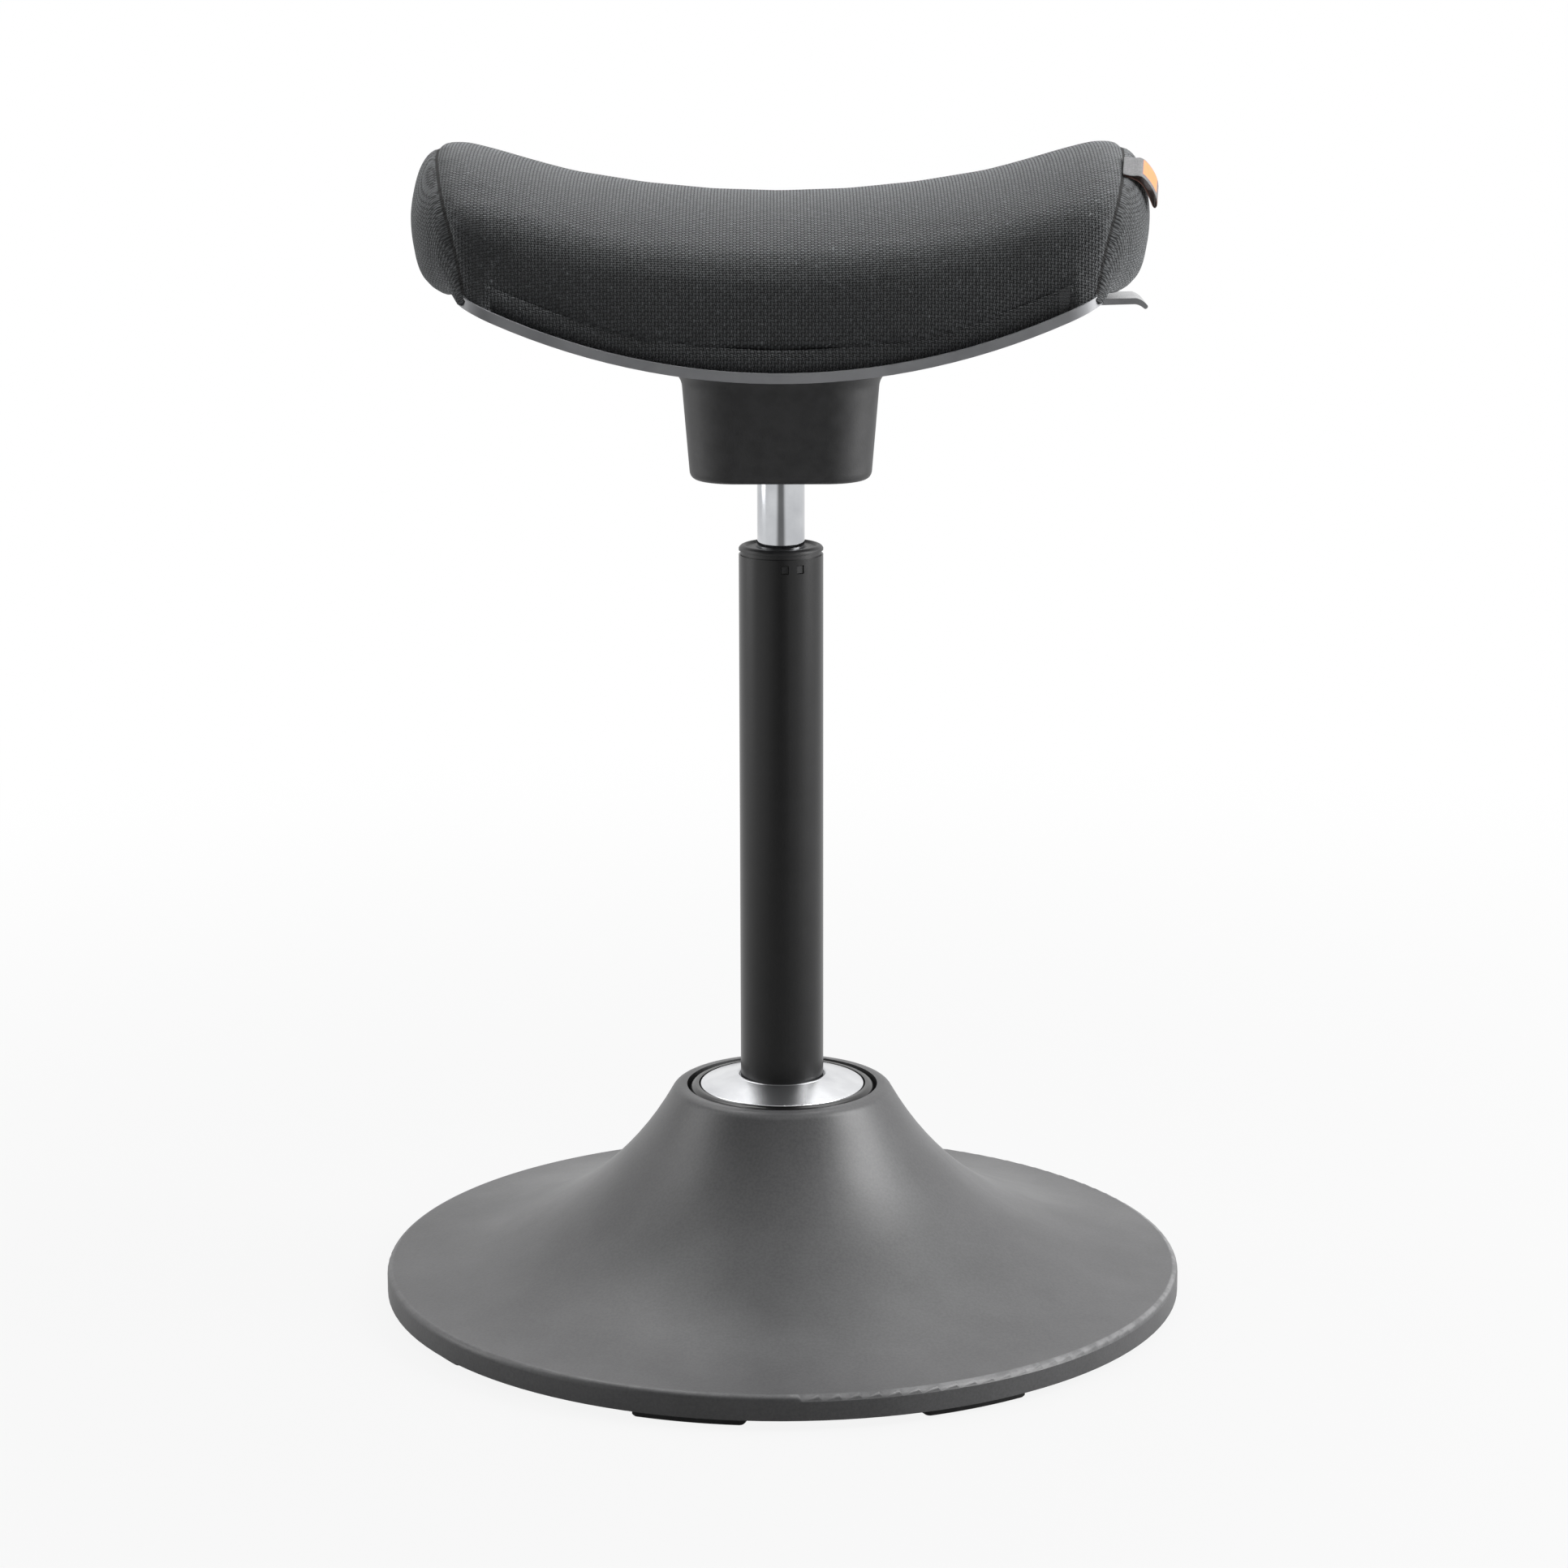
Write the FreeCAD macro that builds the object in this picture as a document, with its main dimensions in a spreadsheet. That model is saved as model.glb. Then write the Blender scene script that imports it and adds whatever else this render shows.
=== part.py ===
"""Perch stool: a weighted trumpet foot, a column that leans on an elastomer joint, a gas spring
and a curved perch seat with a release paddle. Millimetres, Z up, origin on the floor under the
column; the front is towards -Y and the paddle at +X."""
import FreeCAD
import Part
import Sketcher
import math
import os

SIZES = {
    # Foot
    "rim_radius": 241.2,
    "rim_edge": 3.5,
    "rim_under": 5.5,
    "cover_wall": 3.5,
    "flare_radius": 206,
    "flare_centre_r": 247,
    "flare_centre_z": 226,
    "lip_radius": 7,
    "lip_centre_r": 60.5,
    "lip_under": 119,
    "opening_radius": 57.7,
    "rib_thickness": 2.4,
    "rib_inner": 88,
    "rib_outer": 222,
    "plate_radius": 235.5,
    "plate_under": 6.5,
    "plate_thickness": 5,
    "plate_bore": 34,
    "screw_circle": 195,
    "pad_outer": 235.2,
    "pad_inner": 213.5,
    "pad_half_length": 33,
    "pad_axis": 7.5,
    "pad_spread": 20.8,
    # Leaning joint
    "housing_flange": 80,
    "housing_flange_thickness": 7,
    "housing_radius": 54,
    "housing_top": 113,
    "housing_bolt_circle": 70,
    "gusset_height": 62,
    "bush_outer": 48,
    "bush_wall": 3,
    "bush_bottom": 52,
    "bush_top": 112,
    "ring_outer": 55.9,
    "ring_inner": 50.4,
    "ring_seat": 38,
    "ring_under": 117,
    "ring_crest": 130.4,
    "hub_radius": 31,
    "hub_bottom": 40,
    "hub_top": 118,
    "hub_foot": 38,
    "dish_radius": 49.5,
    "dish_edge_z": 130.6,
    "dish_top": 137,
    # Column and gas spring
    "column_radius": 25,
    "column_wall": 2,
    "column_bottom": 36.5,
    "column_top": 455.3,
    "window_width": 4.4,
    "window_height": 5,
    "window_z": 449.5,
    "sleeve_bottom": 390,
    "cap_top": 461,
    "cap_lip": 21.6,
    "end_disc_z": 38.5,
    "end_disc_thickness": 5,
    "rod_radius": 5,
    "tube_radius": 14,
    "tube_bore": 12,
    "tube_bottom": 95,
    "taper_start": 505,
    "tube_top": 551,
    "taper_end_radius": 13.05,
    "piston_bottom": 318,
    "piston_length": 12,
    "race_radius": 12,
    "ball_radius": 1.5,
    "ball_circle": 9,
    # Seat pan and board
    "arc_centre_z": 968,
    "pan_radius": 397,
    "pan_floor": 3,
    "rim_height": 5.6,
    "pan_half_width": 181,
    "pan_half_depth": 118,
    "pan_wall": 3.5,
    "pan_corner": 20,
    "board_half_width": 174,
    "board_half_depth": 109,
    "board_thickness": 10,
    "bolt_x": 34,
    "bolt_y": 36,
    "flange_z": 566,
    "flange_thickness": 3,
    "notch_start": 150,
    "notch_half": 13,
    # Neck
    "neck_bottom": 502.5,
    "neck_half_width": 53.3,
    "neck_half_depth": 44,
    "neck_wall": 3,
    "neck_gap": 1,
    # Cushion
    "crown_z": 667.6,
    "crown_radius": 640,
    "cushion_end": 210.5,
    "cushion_half_depth": 119,
    "cover_thickness": 3,
    "cap_gap": 0.4,
    # Paddle
    "pivot_x": 46,
    "pivot_z": 561.7,
    "pin_radius": 3,
    "paddle_width": 38,
    "arm_width": 12,
}

LEFT, RIGHT = 1, -1
FRONT_ANGLE = -90

doc = FreeCAD.newDocument("perch_stool")
sheet = doc.addObject("Spreadsheet::Sheet", "sizes")
for row, (alias, number) in enumerate(SIZES.items(), start=1):
    sheet.set(f"A{row}", alias)
    sheet.set(f"B{row}", str(number))
    sheet.setAlias(f"B{row}", alias)
doc.recompute()

pieces = []


class Size:
    """A number together with the sheet expression that gives it."""

    def __init__(self, value, text):
        self.value = value
        self.text = text

    def __add__(self, other):
        return joined(self, "+", other, lambda a, b: a + b)

    def __sub__(self, other):
        return joined(self, "-", other, lambda a, b: a - b)

    def __mul__(self, other):
        return joined(self, "*", other, lambda a, b: a * b)

    def __truediv__(self, other):
        return joined(self, "/", other, lambda a, b: a / b)

    def __radd__(self, other):
        return as_size(other) + self

    def __rsub__(self, other):
        return as_size(other) - self

    def __rmul__(self, other):
        return as_size(other) * self

    def __neg__(self):
        return 0 - self


def as_size(number):
    return number if isinstance(number, Size) else Size(number, f"({number})")


def joined(a, sign, b, result):
    a, b = as_size(a), as_size(b)
    return Size(result(a.value, b.value), f"({a.text} {sign} {b.text})")


def root(size):
    return Size(math.sqrt(size.value), f"sqrt({size.text})")


def of_sheet(alias):
    return Size(float(SIZES[alias]), f"sizes.{alias}")


def leg(hypotenuse, side):
    """The other short side of a right triangle."""
    return root(hypotenuse * hypotenuse - side * side)


def bind(thing, **sizes):
    """Ties each named property of a feature to the sheet."""
    for name, size in sizes.items():
        thing.setExpression(name, as_size(size).text)
    return thing


def keep(thing, label):
    """Marks a finished piece, whose label names its node."""
    thing.Label = label
    pieces.append(thing)
    return thing


def new_body(label):
    return keep(doc.addObject("PartDesign::Body", label), label)


def origin_feature(body, role):
    return next(f for f in body.Origin.OriginFeatures if f.Role == role)


def arc_between(start, end, radius, side):
    """The arc of under a half circle from start to end, with its centre on the given side."""
    sx, sy, ex, ey = start[0].value, start[1].value, end[0].value, end[1].value
    half = math.hypot(ex - sx, ey - sy) / 2
    rise = math.sqrt(max(radius.value**2 - half**2, 0)) * side / (2 * half)
    centre_x = (sx + ex) / 2 - (ey - sy) * rise
    centre_y = (sy + ey) / 2 + (ex - sx) * rise
    circle = Part.Circle(FreeCAD.Vector(centre_x, centre_y, 0), FreeCAD.Vector(0, 0, 1), radius.value)
    first = math.atan2(sy - centre_y, sx - centre_x)
    last = math.atan2(ey - centre_y, ex - centre_x)
    return Part.ArcOfCircle(circle, first, last) if side == LEFT else Part.ArcOfCircle(circle, last, first)


def hold(sketch, kind, places, size):
    """A dimension of the sketch that the sheet drives."""
    index = sketch.addConstraint(Sketcher.Constraint(kind, *places, size.value))
    sketch.setExpression(f"Constraints[{index}]", size.text)


def draw(body, plane, outline=(), circles=(), height=None):
    """A sketch on one of the body's own planes. Each outline point is (x, y), or
    (x, y, radius, side) where an arc leads on to the next point; circles are (x, y, radius)."""
    sketch = body.newObject("Sketcher::SketchObject", "sketch")
    sketch.AttachmentSupport = (origin_feature(body, plane + "_Plane"), "")
    sketch.MapMode = "FlatFace"
    if height is not None:
        sketch.setExpression("AttachmentOffset.Base.z", as_size(height).text)
    points = [tuple(as_size(v) for v in point[:3]) + tuple(point[3:]) for point in outline]
    ends = []
    for start, end in zip(points, points[1:] + points[:1]):
        if len(start) == 4:
            index = sketch.addGeometry(arc_between(start, end, start[2], start[3]))
            hold(sketch, "Radius", (index,), start[2])
            ends.append((index, 1, 2) if start[3] == LEFT else (index, 2, 1))
        else:
            corners = [FreeCAD.Vector(p[0].value, p[1].value, 0) for p in (start, end)]
            ends.append((sketch.addGeometry(Part.LineSegment(*corners)), 1, 2))
    for (index, _, last), (following, first, _) in zip(ends, ends[1:] + ends[:1]):
        sketch.addConstraint(Sketcher.Constraint("Coincident", index, last, following, first))
    for (index, first, _), point in zip(ends, points):
        hold(sketch, "DistanceX", (index, first), point[0])
        hold(sketch, "DistanceY", (index, first), point[1])
    for circle in circles:
        x, y, radius = (as_size(v) for v in circle)
        centre = FreeCAD.Vector(x.value, y.value, 0)
        index = sketch.addGeometry(Part.Circle(centre, FreeCAD.Vector(0, 0, 1), radius.value))
        hold(sketch, "Radius", (index,), radius)
        hold(sketch, "DistanceX", (index, 3), x)
        hold(sketch, "DistanceY", (index, 3), y)
    return sketch


def rounded_rectangle(half_x, half_y, corner):
    """Outline of a rectangle with round corners, counter-clockwise."""
    return [
        (corner - half_x, -half_y), (half_x - corner, -half_y, corner, LEFT),
        (half_x, corner - half_y), (half_x, half_y - corner, corner, LEFT),
        (half_x - corner, half_y), (corner - half_x, half_y, corner, LEFT),
        (-half_x, half_y - corner), (-half_x, corner - half_y, corner, LEFT),
    ]


def turn(body, outline):
    """Turns an outline of (radius, height) points about Z."""
    feature = body.newObject("PartDesign::Revolution", "turned")
    feature.Profile = draw(body, "XZ", outline)
    feature.ReferenceAxis = (origin_feature(body, "Z_Axis"), [""])
    feature.Angle = 360
    return feature


def extrude(body, sketch, length, cut=False, both=False, back=False):
    feature = body.newObject("PartDesign::Pocket" if cut else "PartDesign::Pad", "extruded")
    feature.Profile = sketch
    feature.SideType = "Symmetric" if both else "One side"
    feature.Reversed = back
    return bind(feature, Length=length)


def around(body, feature, count):
    """Repeats a feature about Z."""
    pattern = body.newObject("PartDesign::PolarPattern", "pattern")
    pattern.Originals = [feature]
    pattern.Axis = (origin_feature(body, "Z_Axis"), [""])
    pattern.Angle = 360
    pattern.Occurrences = count
    body.Tip = pattern
    return pattern


def finish_edges(body, kind, wanted, **sizes):
    """A fillet or chamfer on the edges of the body's last feature for which wanted(edge) is true."""
    doc.recompute()
    base = body.Tip
    names = [f"Edge{n}" for n, edge in enumerate(base.Shape.Edges, start=1) if wanted(edge)]
    feature = body.newObject("PartDesign::" + kind, "finished")
    feature.Base = (base, names)
    return bind(feature, **sizes)


def is_upright(edge):
    """True of a straight edge along Z."""
    if len(edge.Vertexes) != 2:
        return False
    start, end = (v.Point for v in edge.Vertexes)
    return math.hypot(end.x - start.x, end.y - start.y) < 1e-4 < abs(end.z - start.z)


def lies_along_y(edge, beyond):
    """True of an edge along Y that lies past a given X."""
    start, end = edge.Vertexes[0].Point, edge.Vertexes[-1].Point
    return min(start.x, end.x) > beyond and abs(start.x - end.x) < 1e-4 and abs(start.z - end.z) < 1e-4


def solid(kind, place=(0, 0, 0), rotation=(0, 0, 0), **sizes):
    """A primitive at a place, turned by yaw, pitch and roll in degrees."""
    thing = doc.addObject("Part::" + kind, kind.lower())
    thing.Placement = FreeCAD.Placement(
        FreeCAD.Vector(*(as_size(p).value for p in place)), FreeCAD.Rotation(*rotation)
    )
    for axis, position in zip("xyz", place):
        if isinstance(position, Size):
            thing.setExpression(f"Placement.Base.{axis}", position.text)
    return bind(thing, **sizes)


def fused(*parts):
    thing = doc.addObject("Part::MultiFuse", "fused")
    thing.Shapes = list(parts)
    return thing


def cut_from(base, tool):
    thing = doc.addObject("Part::Cut", "cut")
    thing.Base = base
    thing.Tool = tool
    return thing


def group(parts, label):
    thing = doc.addObject("Part::Compound", label)
    thing.Links = list(parts)
    return keep(thing, label)


def on_circle(radius, angle):
    """The point at an angle on a circle about Z, bound to the circle's radius."""
    turned = math.radians(angle)
    return radius * round(math.cos(turned), 6), radius * round(math.sin(turned), 6)


# Foot

rim_radius = of_sheet("rim_radius")
rim_edge = of_sheet("rim_edge")
cover_wall = of_sheet("cover_wall")
flare_radius = of_sheet("flare_radius")
flare_r, flare_z = of_sheet("flare_centre_r"), of_sheet("flare_centre_z")
plate_under = of_sheet("plate_under")
plate_top = plate_under + of_sheet("plate_thickness")
screw_circle = of_sheet("screw_circle")
FOOT_STATIONS = 8
SCREW_ANGLE = SIZES["pad_axis"]
COVER_SCREWS = 4
HOUSING_BOLTS = 4


def flare_height(radius, offset=0):
    """Height of the trumpet's concave sweep, or of a wall line inside it."""
    return flare_z - leg(flare_radius + offset, flare_r - radius)


def base_cover():
    body = new_body("base_cover")
    lip, lip_r = of_sheet("lip_radius"), of_sheet("lip_centre_r")
    reach = flare_radius + lip
    lip_z = flare_z - leg(reach, flare_r - lip_r)
    meet_r = lip_r + lip * (flare_r - lip_r) / reach
    meet_z = lip_z + lip * (flare_z - lip_z) / reach
    opening, under = of_sheet("opening_radius"), of_sheet("lip_under")
    inner_rim = rim_radius - cover_wall
    inner_start = inner_rim - cover_wall
    shoulder = flare_height(rim_radius - rim_edge)
    wall_radius = flare_radius + cover_wall
    turn(body, [
        (opening, under),
        (opening, lip_z + lip),
        (lip_r, lip_z + lip, lip, RIGHT),
        (meet_r, meet_z, flare_radius, LEFT),
        (rim_radius - rim_edge, shoulder, rim_edge, RIGHT),
        (rim_radius, shoulder - rim_edge),
        (rim_radius, of_sheet("rim_under")),
        (inner_rim, of_sheet("rim_under")),
        (inner_rim, shoulder - cover_wall - rim_edge),
        (inner_start, flare_height(inner_start, cover_wall), wall_radius, RIGHT),
        (flare_r - leg(wall_radius, flare_z - under), under),
    ])
    middle = cover_wall / 2
    rib_inner, rib_outer = of_sheet("rib_inner"), of_sheet("rib_outer")
    rib = extrude(body, draw(body, "XZ", [
        (rib_inner, plate_top + 0.5),
        (rib_outer, plate_top + 0.5),
        (rib_outer, flare_height(rib_outer, middle), flare_radius + middle, RIGHT),
        (rib_inner, flare_height(rib_inner, middle)),
    ]), of_sheet("rib_thickness"), both=True)
    around(body, rib, FOOT_STATIONS)
    boss_x, boss_y = on_circle(screw_circle, SCREW_ANGLE)
    boss = extrude(
        body,
        draw(body, "XY", circles=[(boss_x, boss_y, 5), (boss_x, boss_y, 1.6)], height=plate_top),
        flare_height(screw_circle, middle) - plate_top,
    )
    around(body, boss, COVER_SCREWS)


def base_plate():
    body = new_body("base_plate")
    disc = draw(body, "XY", circles=[(0, 0, of_sheet("plate_radius")), (0, 0, of_sheet("plate_bore"))],
                height=plate_under)
    extrude(body, disc, of_sheet("plate_thickness"))
    screw_x, screw_y = on_circle(screw_circle, SCREW_ANGLE)
    for radius, depth in ((5, 3), (2.2, of_sheet("plate_thickness"))):
        hole = draw(body, "XY", circles=[(screw_x, screw_y, radius)], height=plate_under)
        around(body, extrude(body, hole, depth, cut=True, back=True), COVER_SCREWS)
    bolt = draw(body, "XY", circles=[(of_sheet("housing_bolt_circle"), 0, 4)], height=plate_under)
    around(body, extrude(body, bolt, of_sheet("plate_thickness"), cut=True, back=True), HOUSING_BOLTS)


def cover_screws():
    screws = []
    for n in range(COVER_SCREWS):
        x, y = on_circle(screw_circle, SCREW_ANGLE + n * 360 / COVER_SCREWS)
        head = solid("Cylinder", (x, y, plate_under + 0.4), Radius=4, Height=2.6)
        shank = solid("Cylinder", (x, y, plate_under + 3), Radius=1.6, Height=8.5)
        screws.append(fused(head, shank))
    group(screws, "cover_screws")


def glide_pads():
    """Eight moulded rubber pads under the rim, each a rounded sector, in four pairs."""
    outer, inner, half = of_sheet("pad_outer"), of_sheet("pad_inner"), of_sheet("pad_half_length")
    corner, bevel = 4, 1

    def is_bottom(edge):
        return max(v.Point.z for v in edge.Vertexes) < 0.1

    axis, spread = SIZES["pad_axis"], SIZES["pad_spread"]
    angles = [axis + pair * 90 + side * spread for pair in range(4) for side in (-1, 1)]
    for n, angle in enumerate(angles, start=1):
        body = new_body(f"glide_pad_{n}")
        pad = draw(body, "XY", [
            (leg(inner, half), -half),
            (leg(outer, half), -half, outer, LEFT),
            (leg(outer, half), half),
            (leg(inner, half), half, inner, RIGHT),
        ])
        extrude(body, pad, plate_under)
        finish_edges(body, "Fillet", is_upright, Radius=corner)
        finish_edges(body, "Chamfer", is_bottom, Size=bevel)
        body.Placement.Rotation = FreeCAD.Rotation(angle, 0, 0)


# Leaning joint: the column stands in an elastomer bush, so it gives a little every way

housing_top = of_sheet("housing_top")
housing_radius = of_sheet("housing_radius")
housing_flange = of_sheet("housing_flange")
foot_top = plate_top + of_sheet("housing_flange_thickness")
bush_outer = of_sheet("bush_outer")
bush_sleeve = bush_outer - of_sheet("bush_wall")
bush_bottom, bush_top = of_sheet("bush_bottom"), of_sheet("bush_top")
hub_radius = of_sheet("hub_radius")
column_radius = of_sheet("column_radius")
ring_under = of_sheet("ring_under")
ring_seat = of_sheet("ring_seat")


def pivot_housing():
    """Cast housing of the leaning joint, with a bolted foot and six gussets."""
    body = new_body("pivot_housing")
    fillet = 6
    turn(body, [
        (bush_outer, plate_top),
        (housing_flange, plate_top),
        (housing_flange, foot_top),
        (housing_radius + fillet, foot_top, fillet, RIGHT),
        (housing_radius, foot_top + fillet),
        (housing_radius, housing_top),
        (bush_outer, housing_top),
    ])
    gusset = draw(body, "XZ", [
        (housing_radius - 2, foot_top - 1),
        (housing_flange - 3, foot_top - 1),
        (housing_flange - 3, foot_top + 2),
        (housing_radius - 2, foot_top + of_sheet("gusset_height")),
    ])
    around(body, extrude(body, gusset, 5, both=True), HOUSING_BOLTS)
    x, y = on_circle(of_sheet("housing_bolt_circle"), 180 / HOUSING_BOLTS)
    hole = draw(body, "XY", circles=[(x, y, 4.2)], height=plate_top)
    around(body, extrude(body, hole, foot_top - plate_top, cut=True, back=True), HOUSING_BOLTS)
    body.Placement.Rotation = FreeCAD.Rotation(-180 / HOUSING_BOLTS, 0, 0)


def housing_bolts():
    bolts = []
    for n in range(HOUSING_BOLTS):
        x, y = on_circle(of_sheet("housing_bolt_circle"), n * 360 / HOUSING_BOLTS)
        shank = solid("Cylinder", (x, y, plate_under + 0.5), Radius=3.9, Height=foot_top - plate_under)
        head = solid("Prism", (x, y, foot_top), Circumradius=6.5, Height=5.3)
        head.Polygon = 6
        bolts.append(fused(shank, head))
    group(bolts, "housing_bolts")


def bush_shell():
    turn(new_body("bush_shell"), [
        (bush_sleeve, bush_bottom),
        (bush_outer, bush_bottom),
        (bush_outer, bush_top),
        (bush_sleeve, bush_top),
    ])


def flex_bush():
    """Rubber between the two steel sleeves, hollowed at its ends, with a collar for the ring."""
    hollow = 6
    turn(new_body("flex_bush"), [
        (hub_radius, bush_bottom),
        (hub_radius + 4, bush_bottom + hollow),
        (bush_sleeve - 4, bush_bottom + hollow),
        (bush_sleeve, bush_bottom),
        (bush_sleeve, bush_top),
        (ring_seat + 5, bush_top),
        (ring_seat + 5, ring_under),
        (ring_seat, ring_under),
        (ring_seat - 2, bush_top - hollow),
        (hub_radius, bush_top - hollow),
    ])


def seal_ring():
    outer, inner, crest = of_sheet("ring_outer"), of_sheet("ring_inner"), of_sheet("ring_crest")
    flange_top = ring_under + 3.5
    turn(new_body("seal_ring"), [
        (ring_seat, ring_under),
        (outer - 1, ring_under),
        (outer, ring_under + 1),
        (outer, crest - 2.4, 5, LEFT),
        (outer - 3.2, crest, 9, LEFT),
        (inner, crest),
        (inner, flange_top),
        (ring_seat, flange_top),
    ])


def column_hub():
    bottom, foot = of_sheet("hub_bottom"), of_sheet("hub_foot")
    turn(new_body("column_hub"), [
        (column_radius, bottom),
        (foot, bottom),
        (foot, bottom + 5),
        (hub_radius, bottom + 8),
        (hub_radius, of_sheet("hub_top")),
        (column_radius, of_sheet("hub_top")),
    ])


def hub_dish():
    """Polished dish that closes the foot round the column."""
    radius, edge, top = of_sheet("dish_radius"), of_sheet("dish_edge_z"), of_sheet("dish_top")
    hub_top = of_sheet("hub_top")
    turn(new_body("hub_dish"), [
        (column_radius, hub_top),
        (hub_radius, hub_top),
        (hub_radius, edge - 5.2),
        (hub_radius + 2, edge - 3.8),
        (radius, edge - 3.8),
        (radius, edge - 0.8, 0.8, LEFT),
        (radius - 0.8, edge),
        (column_radius + 3.4, top - 0.4, 2.5, LEFT),
        (column_radius + 1.6, top),
        (column_radius + 0.8, top - 0.5),
        (column_radius + 0.8, top - 2.5),
        (column_radius, top - 2.5),
    ])


# Column

column_bore = column_radius - of_sheet("column_wall")
column_top, column_bottom = of_sheet("column_top"), of_sheet("column_bottom")
window_z = of_sheet("window_z")
WINDOW_ANGLES = [FRONT_ANGLE + pair * 120 + side for pair in range(3) for side in (5.3, 27.4)]


def window_boxes(inner, outer, width, height):
    """A block in each latch window, from an inner to an outer radius."""
    blocks = []
    for angle in WINDOW_ANGLES:
        turned = math.radians(angle)
        x = inner * math.cos(turned) + width * (math.sin(turned) / 2)
        y = inner * math.sin(turned) - width * (math.cos(turned) / 2)
        block = solid("Box", (x, y, window_z - height / 2), (angle, 0, 0), Length=outer - inner,
                      Width=width, Height=height)
        blocks.append(block)
    return blocks


def column_tube():
    height = column_top - column_bottom
    outside = solid("Cylinder", (0, 0, column_bottom), Radius=column_radius, Height=height)
    bore = solid("Cylinder", (0, 0, column_bottom), Radius=column_bore, Height=height)
    width, tall = of_sheet("window_width"), of_sheet("window_height")
    windows = fused(*window_boxes(column_bore - 2, column_radius + 2, width, tall))
    keep(cut_from(cut_from(outside, bore), windows), "column_tube")


def guide_sleeve():
    """Moulded guide in the top of the column, with its cap and six latches."""
    bore, cap = of_sheet("tube_radius") + 0.05, of_sheet("cap_top")
    lip = of_sheet("cap_lip")
    sleeve = doc.addObject("PartDesign::Body", "sleeve")
    turn(sleeve, [
        (bore, of_sheet("sleeve_bottom")),
        (column_bore, of_sheet("sleeve_bottom")),
        (column_bore, column_top),
        (column_radius - 1, column_top),
        (column_radius - 1, column_top + 2.3),
        (column_radius, column_top + 2.6),
        (column_radius, cap - 2, 3.6, LEFT),
        (lip, cap),
        (lip - 1.2, cap - 1.3),
        (bore + 1, cap - 1.3),
        (bore, cap - 2.3),
    ])
    width, tall = of_sheet("window_width") - 0.6, of_sheet("window_height") - 0.6
    latches = window_boxes(column_bore - 1, column_radius - 0.7, width, tall)
    keep(fused(sleeve, *latches), "guide_sleeve")


def column_disc():
    bottom = of_sheet("end_disc_z")
    turn(new_body("column_disc"), [
        (of_sheet("rod_radius") + 1, bottom),
        (column_bore, bottom),
        (column_bore, bottom + of_sheet("end_disc_thickness")),
        (of_sheet("rod_radius") + 1, bottom + of_sheet("end_disc_thickness")),
    ])


# Gas spring

rod_radius = of_sheet("rod_radius")
disc_top = of_sheet("end_disc_z") + of_sheet("end_disc_thickness")
race_thickness = 1.5
BALLS = 6
ball_radius = of_sheet("ball_radius")
upper_race = disc_top + race_thickness + ball_radius * 2 + 0.1
race_top = upper_race + race_thickness
tube_radius, tube_bore = of_sheet("tube_radius"), of_sheet("tube_bore")
tube_bottom, tube_top = of_sheet("tube_bottom"), of_sheet("tube_top")
piston_bottom = of_sheet("piston_bottom")
race_radius = of_sheet("race_radius")


def ring_piece(label, inner, outer, bottom, top):
    turn(new_body(label), [(inner, bottom), (outer, bottom), (outer, top), (inner, top)])


def thrust_bearing():
    ring_piece("bearing_race_lower", rod_radius + 1, race_radius, disc_top, disc_top + race_thickness)
    ring_piece("bearing_race_upper", rod_radius, race_radius, upper_race, race_top)
    balls = []
    for n in range(BALLS):
        x, y = on_circle(of_sheet("ball_circle"), n * 360 / BALLS)
        balls.append(solid("Sphere", (x, y, disc_top + race_thickness + ball_radius), Radius=ball_radius))
    group(balls, "bearing_balls")


def piston_rod():
    groove_bottom = of_sheet("end_disc_z") - 2
    turn(new_body("piston_rod"), [
        (0, groove_bottom - 3.5),
        (rod_radius - 1, groove_bottom - 3.5),
        (rod_radius, groove_bottom - 2.5),
        (rod_radius, groove_bottom),
        (rod_radius - 1, groove_bottom),
        (rod_radius - 1, groove_bottom + 1.5),
        (rod_radius, groove_bottom + 1.5),
        (rod_radius, piston_bottom),
        (rod_radius - 1.5, piston_bottom),
        (rod_radius - 1.5, piston_bottom + of_sheet("piston_length")),
        (0, piston_bottom + of_sheet("piston_length")),
    ])
    clip = cut_from(
        solid("Cylinder", (0, 0, groove_bottom), Radius=rod_radius + 3.5, Height=1.5),
        fused(
            solid("Cylinder", (0, 0, groove_bottom), Radius=rod_radius - 1, Height=1.5),
            solid("Box", (0, 1 - rod_radius, groove_bottom), Length=20, Width=rod_radius * 2 - 2,
                  Height=1.5),
        ),
    )
    keep(clip, "retaining_clip")


def piston():
    top = piston_bottom + of_sheet("piston_length")
    face, groove = tube_bore - 0.1, tube_bore - 1.5
    turn(new_body("piston"), [
        (rod_radius - 1.5, piston_bottom),
        (face, piston_bottom),
        (face, piston_bottom + 3),
        (groove, piston_bottom + 3),
        (groove, top - 3),
        (face, top - 3),
        (face, top),
        (rod_radius - 1.5, top),
    ])


def bump_stop():
    turn(new_body("bump_stop"), [
        (rod_radius, race_top),
        (race_radius, race_top),
        (race_radius, race_top + 9),
        (race_radius - 2.5, race_top + 12),
        (race_radius - 2.5, race_top + 25),
        (race_radius, race_top + 28),
        (race_radius, tube_bottom - 4),
        (race_radius - 2, tube_bottom - 2),
        (rod_radius, tube_bottom - 2),
    ])


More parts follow.
